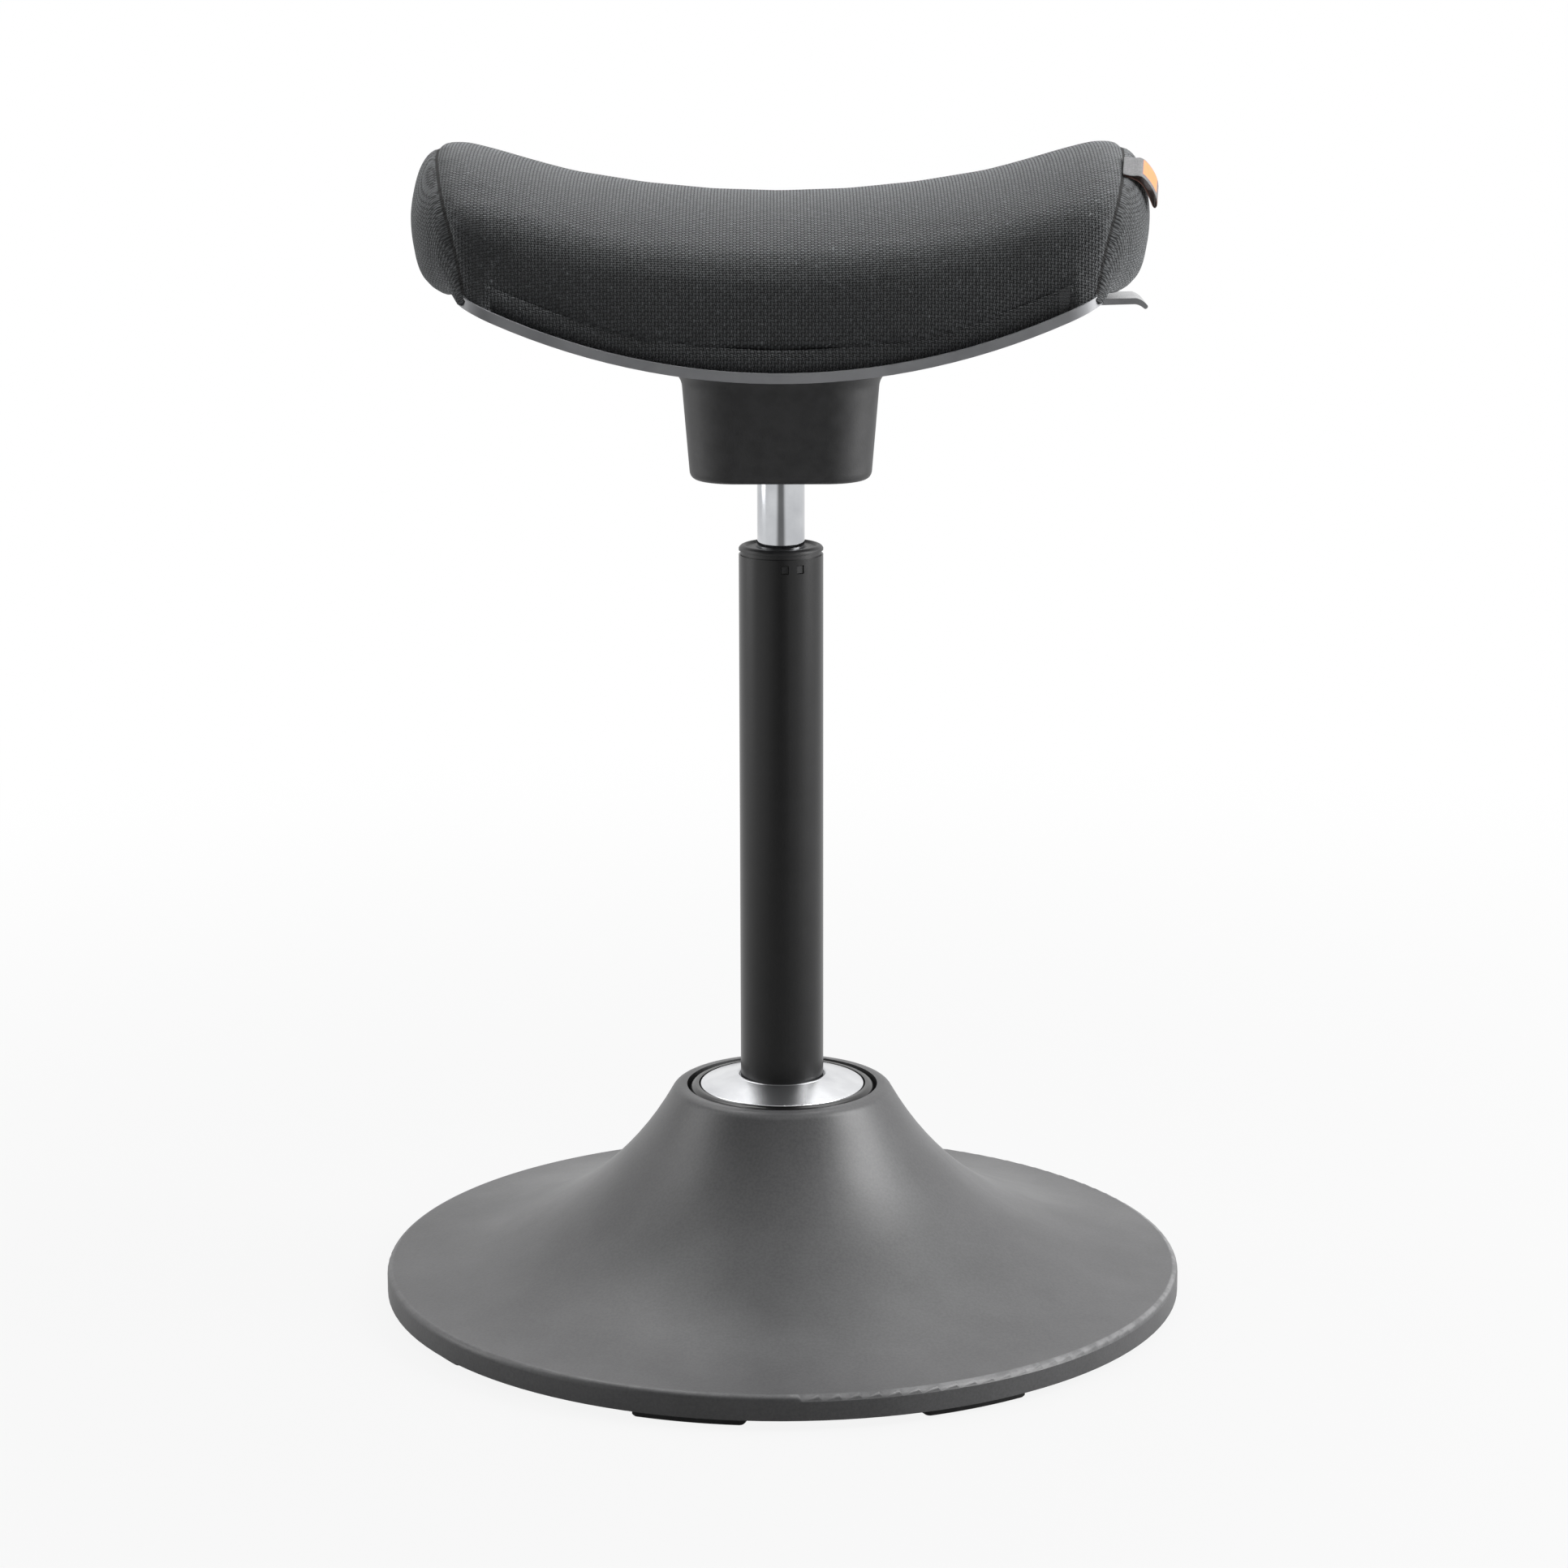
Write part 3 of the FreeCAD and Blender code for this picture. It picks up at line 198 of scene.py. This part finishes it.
def metal(name, dark, light, roughness, brushed_mm=None):
    """Bare or plated metal; a brushed one has fine lines round its axis."""
    made, tree, shader, place = new_finish(name, Metallic=1.0, Roughness=roughness)
    tree.links.new(mottled(tree, place, linear(dark), linear(light), 20), shader.inputs["Base Color"])
    if brushed_mm:
        stretched = add(tree, "ShaderNodeMapping", {"Vector": place, "Scale": (1.0, 1.0, 30.0)})
        lines = add(tree, "ShaderNodeTexNoise", {"Vector": stretched.outputs[0], "Detail": 3.0,
                                                 "Scale": 1 / (brushed_mm * 30 * MM)})
        tree.links.new(between(tree, lines.outputs["Fac"], 0.3, 0.7, roughness * 0.7, roughness * 1.3),
                       shader.inputs["Roughness"])
    return made


def rubber(name, dark, light, roughness):
    """Black moulded rubber with a dusty bloom."""
    made, tree, shader, place = new_finish(name, Roughness=roughness, IOR=1.52)
    colour = mottled(tree, place, linear(dark), linear(light), 7, detail=6)
    tree.links.new(colour, shader.inputs["Base Color"])
    grained(tree, place, shader, 1.0, 0.03)
    return made


def beech_plywood():
    """Bent beech board: pale rotary-cut face with short darker flecks along X."""
    made, tree, shader, place = new_finish("beech_plywood", Roughness=0.55)
    along = add(tree, "ShaderNodeMapping", {"Vector": place, "Scale": (6.0, 90.0, 260.0)})
    noise = add(tree, "ShaderNodeTexNoise", {"Vector": along.outputs[0], "Scale": 3.0, "Detail": 8.0})
    ramp = add(tree, "ShaderNodeValToRGB", {"Fac": noise.outputs["Fac"]})
    ramp.color_ramp.elements[0].color, ramp.color_ramp.elements[1].color = linear("a67c4e"), linear("d4b184")
    tree.links.new(ramp.outputs[0], shader.inputs["Base Color"])
    return made


# Distance between threads; how far the end seam's dark line reaches; height of the hem's pale line, its
# stitches with a painted highlight on the fold's edge
THREAD_MM = 1.9
SEAM_LINE = (0.5 * MM, 1.4 * MM)
HEM_LINE_HEIGHT, HEM_LINE_SPREAD = 1.6 * MM, (0.2 * MM, 0.6 * MM)


def seat_cloth():
    """Black polyester plain weave. The real threads are about 1.1 mm apart; they are drawn further
    apart so that they show."""
    made, tree, shader, place = new_finish("seat_cloth", Roughness=0.8, IOR=1.45, Sheen_Roughness=0.4)
    shader.inputs["Sheen Tint"].default_value = linear("c6c9cb")
    hem = add(tree, "ShaderNodeAttribute", attribute_name="hem_gap").outputs["Fac"]
    on_panel = add(tree, "ShaderNodeAttribute", attribute_name="weave").outputs["Vector"]
    on_cap = add(tree, "ShaderNodeAttribute", attribute_name="cap_weave").outputs["Vector"]
    seam = add(tree, "ShaderNodeAttribute", attribute_name="seam_gap").outputs["Fac"]
    threads = add(tree, "ShaderNodeMixRGB", {"Fac": maths(tree, "GREATER_THAN", seam, 0.0),
                                             "Color1": on_panel, "Color2": on_cap})
    apart = add(tree, "ShaderNodeSeparateXYZ", {"Vector": threads.outputs[0]})
    turn = math.pi / (THREAD_MM * MM)
    warp = maths(tree, "SINE", maths(tree, "MULTIPLY", apart.outputs["X"], turn))
    weft = maths(tree, "SINE", maths(tree, "MULTIPLY", apart.outputs["Y"], turn))
    over = between(tree, maths(tree, "MULTIPLY", warp, weft), -0.25, 0.25)
    height = add(tree, "ShaderNodeMix", {"Factor": over, "A": maths(tree, "ABSOLUTE", warp),
                                         "B": maths(tree, "ABSOLUTE", weft)}, data_type="FLOAT").outputs[0]
    fluff = add(tree, "ShaderNodeTexNoise", {"Vector": place, "Scale": 420.0, "Detail": 3.0}).outputs["Fac"]
    patches = add(tree, "ShaderNodeTexNoise", {"Vector": place, "Scale": 14.0, "Detail": 4.0}).outputs["Fac"]
    lit = maths(tree, "MULTIPLY", height, between(tree, fluff, 0.35, 0.7, 0.35, 1.0))
    dark_and_light = add(tree, "ShaderNodeMixRGB", {"Fac": lit, "Color1": linear("101112"),
                                                    "Color2": linear("515355")})
    worn = add(tree, "ShaderNodeMixRGB", {"Fac": between(tree, patches, 0.3, 0.75, 0.0, 0.3),
                                          "Color1": dark_and_light.outputs[0], "Color2": linear("3a3b3c")})
    specks = between(tree, fluff, 0.69, 0.76, 0.0, 0.8)
    speckled = add(tree, "ShaderNodeMixRGB", {"Fac": specks, "Color1": worn.outputs[0],
                                              "Color2": linear("7f8385")})
    in_seam = between(tree, maths(tree, "ABSOLUTE", seam), *SEAM_LINE, 1.0, 0.0)
    shine = maths(tree, "SUBTRACT", between(tree, height, 0.2, 0.95, 0.15, 1.0), in_seam)
    tree.links.new(between(tree, shine, 0.0, 1.0), shader.inputs["Sheen Weight"])
    sewn = add(tree, "ShaderNodeMixRGB", {"Fac": in_seam, "Color1": speckled.outputs[0],
                                          "Color2": linear("080808")})
    # A pale line along the hem: its stitches, and a painted highlight on the edge of the fold there
    from_hem_line = maths(tree, "ABSOLUTE", maths(tree, "SUBTRACT", hem, HEM_LINE_HEIGHT))
    stitches_and_highlight = between(tree, from_hem_line, *HEM_LINE_SPREAD, 0.7, 0.0)
    stitched_and_highlit = add(tree, "ShaderNodeMixRGB", {"Fac": stitches_and_highlight, "Color1": sewn.outputs[0],
                                              "Color2": linear("85888a")})
    tree.links.new(stitched_and_highlit.outputs[0], shader.inputs["Base Color"])
    raised = maths(tree, "ADD", height, maths(tree, "MULTIPLY", fluff, 0.5))
    bump = add(tree, "ShaderNodeBump", {"Height": raised, "Strength": 1.0, "Distance": 0.6 * MM})
    tree.links.new(bump.outputs["Normal"], shader.inputs["Normal"])
    return made


# The orange patch, where the ribbon turns to show its back, and the distance between its ribs. The
# places are metres along the ribbon from the seam, and across it from its middle.
PATCH_ALONG = ((0.0112, 0.012), (0.0255, 0.0265))
PATCH_ACROSS = ((-0.0082, -0.0074), (0.0105, 0.0113))
RIBBON_BACK = (0.0285, 0.0295)
RIB_MM = 0.9


def ribbon_cloth():
    """Woven polyester ribbon: fine cross ribs, grey with one plain orange patch, and a brownish
    shiny back."""
    made, tree, shader, place = new_finish("ribbon_cloth", Roughness=0.45, Sheen_Weight=0.2)
    spot = add(tree, "ShaderNodeAttribute", attribute_name="ribbon").outputs["Vector"]
    apart = add(tree, "ShaderNodeSeparateXYZ", {"Vector": spot})
    along, across = apart.outputs["X"], apart.outputs["Y"]
    ribs = maths(tree, "SINE", maths(tree, "MULTIPLY", along, 2 * math.pi / (RIB_MM * MM)))
    patch = maths(tree, "MULTIPLY", band(tree, across, *PATCH_ACROSS), band(tree, along, *PATCH_ALONG))
    grey = mottled(tree, place, linear("505052"), linear("6b6b6d"), 1.2)
    coloured = add(tree, "ShaderNodeMixRGB", {"Fac": patch, "Color1": grey, "Color2": linear("f0894a")})
    turned = between(tree, along, *RIBBON_BACK)
    backed = add(tree, "ShaderNodeMixRGB", {"Fac": turned, "Color1": coloured.outputs[0],
                                            "Color2": linear("7a554a")})
    tree.links.new(backed.outputs[0], shader.inputs["Base Color"])
    tree.links.new(between(tree, along, *RIBBON_BACK, 0.5, 0.25), shader.inputs["Roughness"])
    bump = add(tree, "ShaderNodeBump", {"Height": ribs, "Strength": 0.6, "Distance": 0.12 * MM})
    tree.links.new(bump.outputs["Normal"], shader.inputs["Normal"])
    return made


foot_moulding = moulded_foot()
neck_moulding = moulded_neck()
pan_moulding = moulded_pan()
cap_nylon = black_nylon()
column_coat = powder_coat("column_powder_coat", "0c0c0d", "121213", 0.3)
paddle_coat = metal("paddle_satin_steel", "a6a7a9", "b9babc", 0.26)
frame_coat = powder_coat("frame_dip_paint", "19191a", "232324", 0.5)
dish_steel = metal("polished_dish", "cfd0d3", "dfe0e2", 0.27)
tube_chrome = metal("hard_chrome", "c4c6ca", "d6d8db", 0.07)
ground_steel = metal("ground_steel", "a9abae", "bfc1c4", 0.2, brushed_mm=0.4)
zinc_plate = metal("zinc_plate", "9fa2a5", "b7babd", 0.34)
pad_rubber = rubber("pad_rubber", "101011", "1c1c1d", 0.62)
ring_rubber = rubber("ring_rubber", "060606", "0c0c0d", 0.22)
bush_rubber = rubber("bush_rubber", "0d0d0e", "161617", 0.6)
plywood = beech_plywood()
cloth = seat_cloth()
ribbon = ribbon_cloth()

NODE_FINISHES = {
    "base_cover": foot_moulding, "base_plate": frame_coat, "cover_screws": zinc_plate,
    "pivot_housing": frame_coat, "housing_bolts": zinc_plate, "bush_shell": zinc_plate,
    "flex_bush": bush_rubber, "seal_ring": ring_rubber, "column_tube": column_coat,
    "column_hub": zinc_plate, "hub_dish": dish_steel, "guide_sleeve": cap_nylon, "column_disc": zinc_plate,
    "bearing_race_lower": ground_steel, "bearing_balls": ground_steel, "bearing_race_upper": ground_steel,
    "piston_rod": ground_steel, "piston": ground_steel, "bump_stop": bush_rubber,
    "retaining_clip": ground_steel, "pressure_tube": tube_chrome, "rod_guide": cap_nylon,
    "seat_bracket": frame_coat, "mount_bolts": zinc_plate, "neck_cover": neck_moulding,
    "seat_shell": pan_moulding, "shell_screws": zinc_plate, "seat_board": plywood,
    "lever_pin": zinc_plate, "release_lever": paddle_coat, "release_pin": ground_steel,
    **{f"glide_pad_{n}": pad_rubber for n in range(1, 9)},
}
for node, finish in NODE_FINISHES.items():
    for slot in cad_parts[node].material_slots:
        slot.material = finish


# Cushion

# The seam of an end cap: its place along the seat at its foot, the foot's height, its lean, its bend
END_CAP_SEAM = (0.1725, 0.616, 0.27, 0.63)
# Height of the centre and radius of the arc where the cover turns under the board
HEM_ARC = (0.968, 0.384)
# What the board holds while the cushion swells: height over the hem, half length and half depth
HELD = (4 * MM, 0.178, 0.1)
VOXEL, SWELL_CAP = 5 * MM, 3.2 * MM
SWELL_PRESSURE, SWELL_FRAMES = 4, 20
# Millimetres that the ends grow by, and how deep and how widely the seam draws the cover in
END_GROWTH = 2.4
SEAM_PULLS = ((1.3, 2.2), (0.4, 8))
# At distances from the seat's middle, all in millimetres: how far the lower corners of the cover
# reach to the front and back, and how far its lower edge hangs below the board's face
CORNER_REACH = ((150, 116), (160, 116.5), (166, 116), (172, 114), (178, 110.5), (183, 106.5), (193, 97))
EDGE_DROP = ((20, 0), (82, 4.1), (118, 6.4), (150, 8.6), (165, 9.4), (172, 9.6), (178, 9), (183, 6),
             (190, 0))
# Where those two start to act: along the seat, from both sides of a corner, and across it
CORNER_ENDS, CORNER_SIDE, EDGE_SIDE = ((145, 165), (194, 180)), (80, 92), (95, 107)
# How the threads of an end cap lean: with height, towards the end, and with depth
CAP_LEAN = (0.4, 0.6, 0.4)
# Half sizes and corner of the board with its cover, and the arcs between which the cover shows
SKIRT = (0.1772, 0.1122, 0.016)
SKIRT_ARCS = (0.379, 0.3937)
SKIRT_STEP, SKIRT_CORNER_STEPS = 6 * MM, 8
# Millimetres that the skirt's lower edge is drawn in by, and its thickness
SKIRT_DRAWN, SKIRT_THICK = 0.3, 1.5
# Metres from an end seam and from the hem, for cloth that has neither
NO_SEAM, NO_HEM = -1.0, 1.0


def seam_gap(points):
    """How far each point lies past the seam that joins the end caps to the long panel."""
    start, low, slope, curve = END_CAP_SEAM
    rise = points[:, 2] - low
    return np.abs(points[:, 0]) - (start + slope * rise + curve * rise**2)


def hem_gap(points):
    """Height of each point over the curved line where the cover turns under the board."""
    centre, radius = HEM_ARC
    return points[:, 2] - (centre - np.sqrt(radius**2 - points[:, 0] ** 2))


def ramp(values, start, end):
    """From nothing at the start to one at the end, straight in between."""
    return np.clip((values - start) / (end - start), 0, 1)


def hang(points, hem):
    """Lets the cover's lower edge hang below the board's face, and over the pan's corners."""
    far, aside = np.abs(points[:, 0]) / MM, np.abs(points[:, 1]) / MM
    low = ramp(hem, 24 * MM, 0)
    before, after = CORNER_ENDS
    at_corner = low**1.5 * ramp(far, *before) * ramp(far, *after)
    reach = np.interp(far, *zip(*CORNER_REACH))
    aside += at_corner * ramp(aside, *CORNER_SIDE) * np.maximum(0, reach - aside)
    drop = np.interp(far, *zip(*EDGE_DROP))
    points[:, 1] = np.sign(points[:, 1]) * aside * MM
    points[:, 2] -= drop * MM * ramp(aside, *EDGE_SIDE) * low


def triples(items, name):
    """The three values that each vertex or normal of a mesh holds, as one array."""
    values = np.empty(len(items) * 3)
    items.foreach_get(name, values)
    return values.reshape(-1, 3)


def keep(mesh, name, values):
    """Stores an array on the mesh's points, for its finish to read."""
    kind, part = ("FLOAT", "value") if values.ndim == 1 else ("FLOAT_VECTOR", "vector")
    mesh.attributes.new(name, kind, "POINT").data.foreach_set(part, values.ravel())


def baked(piece):
    """Gives the piece its mesh as its modifiers leave it, and drops them."""
    graph = bpy.context.evaluated_depsgraph_get()
    mesh = bpy.data.meshes.new_from_object(piece.evaluated_get(graph))
    piece.modifiers.clear()
    piece.data = mesh
    return mesh


def evened(mesh, moved, rounds=14):
    """Averages a movement over neighbouring points, so that the cover swells without creases."""
    pairs = np.empty(len(mesh.edges) * 2, dtype=np.int64)
    mesh.edges.foreach_get("vertices", pairs)
    one, other = pairs.reshape(-1, 2).T
    count = np.bincount(pairs, minlength=len(moved))[:, None]
    for _ in range(rounds):
        total = np.zeros_like(moved)
        np.add.at(total, one, moved[other])
        np.add.at(total, other, moved[one])
        moved = total / np.maximum(count, 1)
    return moved


def swell(piece, pinned):
    """Blows the cover up a little over its foam, the pinned points staying on the board."""
    group = piece.vertex_groups.new(name="pinned")
    group.add([int(n) for n in np.nonzero(pinned)[0]], 1.0, "REPLACE")
    before = triples(piece.data.vertices, "co")
    settings = piece.modifiers.new("swell", "CLOTH").settings
    settings.vertex_group_mass = "pinned"
    settings.use_pressure = True
    settings.uniform_pressure_force = SWELL_PRESSURE
    settings.effector_weights.gravity = 0
    scene = bpy.context.scene
    for step in range(1, SWELL_FRAMES + 1):
        scene.frame_set(step)
    baked(piece)
    scene.frame_set(1)
    moved = evened(piece.data, triples(piece.data.vertices, "co") - before)
    far = np.linalg.norm(moved, axis=1, keepdims=True)
    after = before + moved * np.minimum(1, SWELL_CAP / np.maximum(far, 1e-9))
    piece.data.vertices.foreach_set("co", after.ravel())
    piece.data.update()
    piece.vertex_groups.clear()


def make_cushion():
    """The foam's form, remeshed, swelled, and then drawn in along its seams."""
    piece = placed("cushion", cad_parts["foam_pad"].data.copy())
    remesh = piece.modifiers.new("even", "REMESH")
    remesh.mode, remesh.voxel_size = "VOXEL", VOXEL
    points = triples(baked(piece).vertices, "co")
    height, half_length, half_depth = HELD
    held = (np.abs(points[:, 0]) < half_length) & (np.abs(points[:, 1]) < half_depth)
    swell(piece, held & (hem_gap(points) < height))
    finer = piece.modifiers.new("finer", "SUBSURF")
    finer.levels = finer.render_levels = 1
    mesh = baked(piece)
    points, normals = triples(mesh.vertices, "co"), triples(mesh.vertex_normals, "vector")
    seam, hem = seam_gap(points), hem_gap(points)
    pulled = sum(depth * np.exp(-((seam / (width * MM)) ** 2)) for depth, width in SEAM_PULLS)
    near_end = ramp(np.abs(points[:, 0]), 0.12, 0.19)
    grown = END_GROWTH * near_end * near_end * (3 - 2 * near_end)
    points += normals * ((grown - pulled)[:, None] * MM)
    hang(points, hem)
    mesh.vertices.foreach_set("co", points.ravel())
    mesh.update()

    crown = points[:, 2].max()
    panel, cap = np.zeros_like(points), np.zeros_like(points)
    panel[:, 0] = points[:, 0]
    panel[:, 1] = np.abs(points[:, 1]) + crown - points[:, 2]
    with_height, endward, with_depth = CAP_LEAN
    cap[:, 0] = points[:, 1] + with_height * points[:, 2]
    cap[:, 1] = points[:, 2] + endward * np.abs(points[:, 0]) - with_depth * points[:, 1]
    keep(mesh, "weave", panel)
    keep(mesh, "cap_weave", cap)
    keep(mesh, "seam_gap", seam)
    has_hem = (np.abs(points[:, 1]) > 0.095) & (np.abs(points[:, 0]) < half_length)
    keep(mesh, "hem_gap", np.where(has_hem, hem, NO_HEM))
    mesh.materials.clear()
    mesh.materials.append(cloth)
    mesh.shade_smooth()
    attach(piece, "seat")
    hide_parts("foam_pad", "seat_cover")


def skirt_outline():
    """Points along the board's covered edge, with the way out and the length so far."""
    half_x, half_y, corner = SKIRT
    plan = []
    for sign_x, sign_y, first in ((1, -1, -math.pi / 2), (1, 1, 0), (-1, 1, math.pi / 2), (-1, -1, math.pi)):
        x, y = sign_x * (half_x - corner), sign_y * (half_y - corner)
        for n in range(SKIRT_CORNER_STEPS + 1):
            angle = first + n * math.pi / (2 * SKIRT_CORNER_STEPS)
            out = (math.cos(angle), math.sin(angle))
            plan.append((Vector((x + corner * out[0], y + corner * out[1])), Vector(out)))
    length = 0.0
    for (start, out), (end, _) in zip(plan, plan[1:] + plan[:1]):
        steps = max(1, round((end - start).length / SKIRT_STEP))
        for step in range(steps):
            yield start.lerp(end, step / steps), out, length
            length += (end - start).length / steps


def make_skirt():
    """The strip of the cover that is drawn down round the edge of the board, inside the pan's rim."""
    shape = bmesh.new()
    woven = shape.verts.layers.float_vector.new("weave")
    seam, hem = shape.verts.layers.float.new("seam_gap"), shape.verts.layers.float.new("hem_gap")
    sections = []
    for spot, out, length in skirt_outline():
        top, bottom = (HEM_ARC[0] - math.sqrt(radius**2 - spot.x**2) for radius in SKIRT_ARCS)
        middle = (top + bottom) / 2
        outer = ((0, top), (0, middle), (SKIRT_DRAWN, bottom))
        inner = ((SKIRT_THICK, bottom), (SKIRT_THICK, middle), (SKIRT_THICK, top))
        section = []
        for inset, height in outer + inner:
            place = spot - out * (inset * MM)
            vert = shape.verts.new((place.x, place.y, height))
            vert[woven] = (length, height, 0)
            vert[seam], vert[hem] = NO_SEAM, NO_HEM
            section.append(vert)
        sections.append(section)
    for one, other in zip(sections, sections[1:] + sections[:1]):
        for n in range(len(one)):
            following = (n + 1) % len(one)
            shape.faces.new((one[n], other[n], other[following], one[following]))
    piece = placed("skirt", finished_mesh(shape, "skirt", cloth))
    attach(piece, "seat")
    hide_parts("seat_cover")


make_cushion()
make_skirt()


# Tag

# The ribbon's path out from the seam and back, in millimetres along and above the seat
TAG_PATH = [(-1, -0.2), (2.5, -0.9), (5.4, -1.6), (7.4, -0.9), (10.4, -1.7), (13.6, -5.6), (16.8, -10.8),
            (18.6, -16.6), (18.4, -20.4), (17.0, -21.2), (15.9, -19.6), (14.2, -14.2), (10.6, -6.6),
            (6.4, -3.4), (-1, -1.1)]
TAG_WIDTH, TAG_THICK, TAG_COLUMNS = 25, 0.8, 8
TAG_PLACE, TAG_YAW, TAG_ROLL = (0.1952, -0.0545, 0.687), math.radians(-6), math.radians(20)


def make_tag():
    """Ribbon sewn into the seam and folded back on itself. It leans with the cushion's front shoulder."""
    lie = (Matrix.Translation(TAG_PLACE) @ Matrix.Rotation(TAG_YAW, 4, "Z")
           @ Matrix.Rotation(TAG_ROLL, 4, "X"))
    shape = bmesh.new()
    spot = shape.verts.layers.float_vector.new("ribbon")
    rows, length = [], 0.0
    for (x, z), (last_x, last_z) in zip(TAG_PATH, TAG_PATH[:1] + TAG_PATH[:-1]):
        length += math.hypot(x - last_x, z - last_z)
        row = []
        for n in range(TAG_COLUMNS + 1):
            across = TAG_WIDTH * (n / TAG_COLUMNS - 0.5)
            vert = shape.verts.new(lie @ Vector((x * MM, across * MM, z * MM)))
            vert[spot] = (length * MM, across * MM, 0)
            row.append(vert)
        rows.append(row)
    for row, following in zip(rows, rows[1:]):
        for n in range(TAG_COLUMNS):
            shape.faces.new((row[n], row[n + 1], following[n + 1], following[n]))
    piece = placed("tag", finished_mesh(shape, "tag", ribbon))
    thick = piece.modifiers.new("thick", "SOLIDIFY")
    thick.thickness, thick.offset = TAG_THICK * MM, 0
    smooth = piece.modifiers.new("smooth", "SUBSURF")
    smooth.levels = smooth.render_levels = 2
    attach(piece, "seat")
    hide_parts("seam_tag")


make_tag()


# Studio

def studio_floor():
    """A pale sheet that keeps the stool's soft shadow. Straight on it is nearly white; in
    reflections it darkens towards the camera, as in a room with a dark front wall."""
    made = bpy.data.materials.new("studio_sheet")
    made.use_nodes = True
    tree = made.node_tree
    shader = tree.nodes["Principled BSDF"]
    shader.inputs["Base Color"].default_value = linear("9c9c9c")
    shader.inputs["Roughness"].default_value = 0.9
    glow = add(tree, "ShaderNodeEmission", {"Color": (1, 1, 1, 1), "Strength": 1.0})
    place = add(tree, "ShaderNodeNewGeometry").outputs["Position"]
    apart = add(tree, "ShaderNodeSeparateXYZ", {"Vector": place})
    far = add(tree, "ShaderNodeVectorMath", {0: place}, operation="LENGTH").outputs["Value"]
    behind = maths(tree, "MAXIMUM", between(tree, apart.outputs["Y"], -0.5, 0.4),
                   between(tree, maths(tree, "ABSOLUTE", apart.outputs["X"]), 0.4, 1.4))
    path = add(tree, "ShaderNodeLightPath")
    seen = maths(tree, "MAXIMUM", path.outputs["Is Camera Ray"], path.outputs["Is Transmission Ray"])
    straight = maths(tree, "MULTIPLY", seen, between(tree, far, 0.35, 1.6, 0.89, 1.0))
    mirrored = maths(tree, "MULTIPLY", path.outputs["Is Glossy Ray"], maths(tree, "MULTIPLY", behind, 0.8))
    share = maths(tree, "MAXIMUM", straight, mirrored)
    mixed = add(tree, "ShaderNodeMixShader", {"Fac": share, 1: shader.outputs[0], 2: glow.outputs[0]})
    tree.links.new(mixed.outputs[0], tree.nodes["Material Output"].inputs["Surface"])
    bpy.ops.mesh.primitive_plane_add(size=30, location=(0, 0, 0))
    floor = bpy.context.object
    floor.name = "studio_floor"
    floor.data.materials.append(made)


# Each box's place, what it is aimed at, its width and height in metres, and its watts
SOFTBOXES = {
    "top_box": ((0.0, 0.7, 2.2), (0, 0, 0.3), (2.4, 1.6), 30),
    "left_box": ((-1.8, 0.1, 1.0), (0, 0, 0.3), (1.0, 1.8), 12),
    "right_box": ((1.6, -0.2, 1.1), (0, 0, 0.2), (0.9, 1.6), 44),
}


def softbox(name, place, target, size, watts):
    """A rectangular area lamp."""
    light = bpy.data.lights.new(name, "AREA")
    light.shape, light.size, light.size_y, light.energy = "RECTANGLE", size[0], size[1], watts
    lamp = placed(name, light)
    lamp.location = place
    lamp.rotation_euler = (Vector(target) - Vector(place)).to_track_quat("-Z", "Y").to_euler()


# How bright the surroundings are for all but mirror rays, and how bright the wall behind the camera is
AMBIENT, DARK_WALL = 0.45, 0.13


def surroundings():
    """White walls to the sides and behind, a lit ceiling and a dark wall behind the camera; straight
    on they are plain white."""
    world = bpy.data.worlds.new("studio")
    bpy.context.scene.world = world
    world.use_nodes = True
    tree = world.node_tree
    back = tree.nodes["Background"]
    back.inputs["Color"].default_value = (1, 1, 1, 1)
    way = add(tree, "ShaderNodeTexCoord").outputs["Generated"]
    apart = add(tree, "ShaderNodeSeparateXYZ", {"Vector": way})
    walls = maths(tree, "MAXIMUM", between(tree, apart.outputs["Y"], -0.35, 0.55, DARK_WALL, 1.0),
                  between(tree, maths(tree, "ABSOLUTE", apart.outputs["X"]), 0.5, 0.9))
    white = maths(tree, "MAXIMUM", walls, between(tree, apart.outputs["Z"], 0.55, 0.95, 0.0, 0.9))
    rays = add(tree, "ShaderNodeLightPath")
    seen = maths(tree, "MAXIMUM", rays.outputs["Is Camera Ray"], rays.outputs["Is Transmission Ray"])
    strength = between(tree, rays.outputs["Is Glossy Ray"], 0.0, 1.0, AMBIENT, 1.0)
    lit = maths(tree, "MULTIPLY", white, strength)
    tree.links.new(maths(tree, "MAXIMUM", seen, lit), back.inputs["Strength"])


studio_floor()
for box_name, box in SOFTBOXES.items():
    softbox(box_name, *box)
surroundings()


# Camera

SENSOR_MM, LENS_MM = 36, 97.55
CAMERA_PLACE, PITCH, ROLL = (0.0015, -2.477, 0.875), math.pi / 2 - 0.222, -0.002

camera = placed("camera", bpy.data.cameras.new("camera"))
camera.data.sensor_width, camera.data.lens = SENSOR_MM, LENS_MM
camera.data.clip_start, camera.data.clip_end = 0.05, 60
camera.matrix_world = (Matrix.Translation(CAMERA_PLACE) @ Matrix.Rotation(PITCH, 4, "X")
                       @ Matrix.Rotation(ROLL, 4, "Z"))
bpy.context.scene.camera = camera
bpy.context.scene.view_settings.view_transform = "Standard"
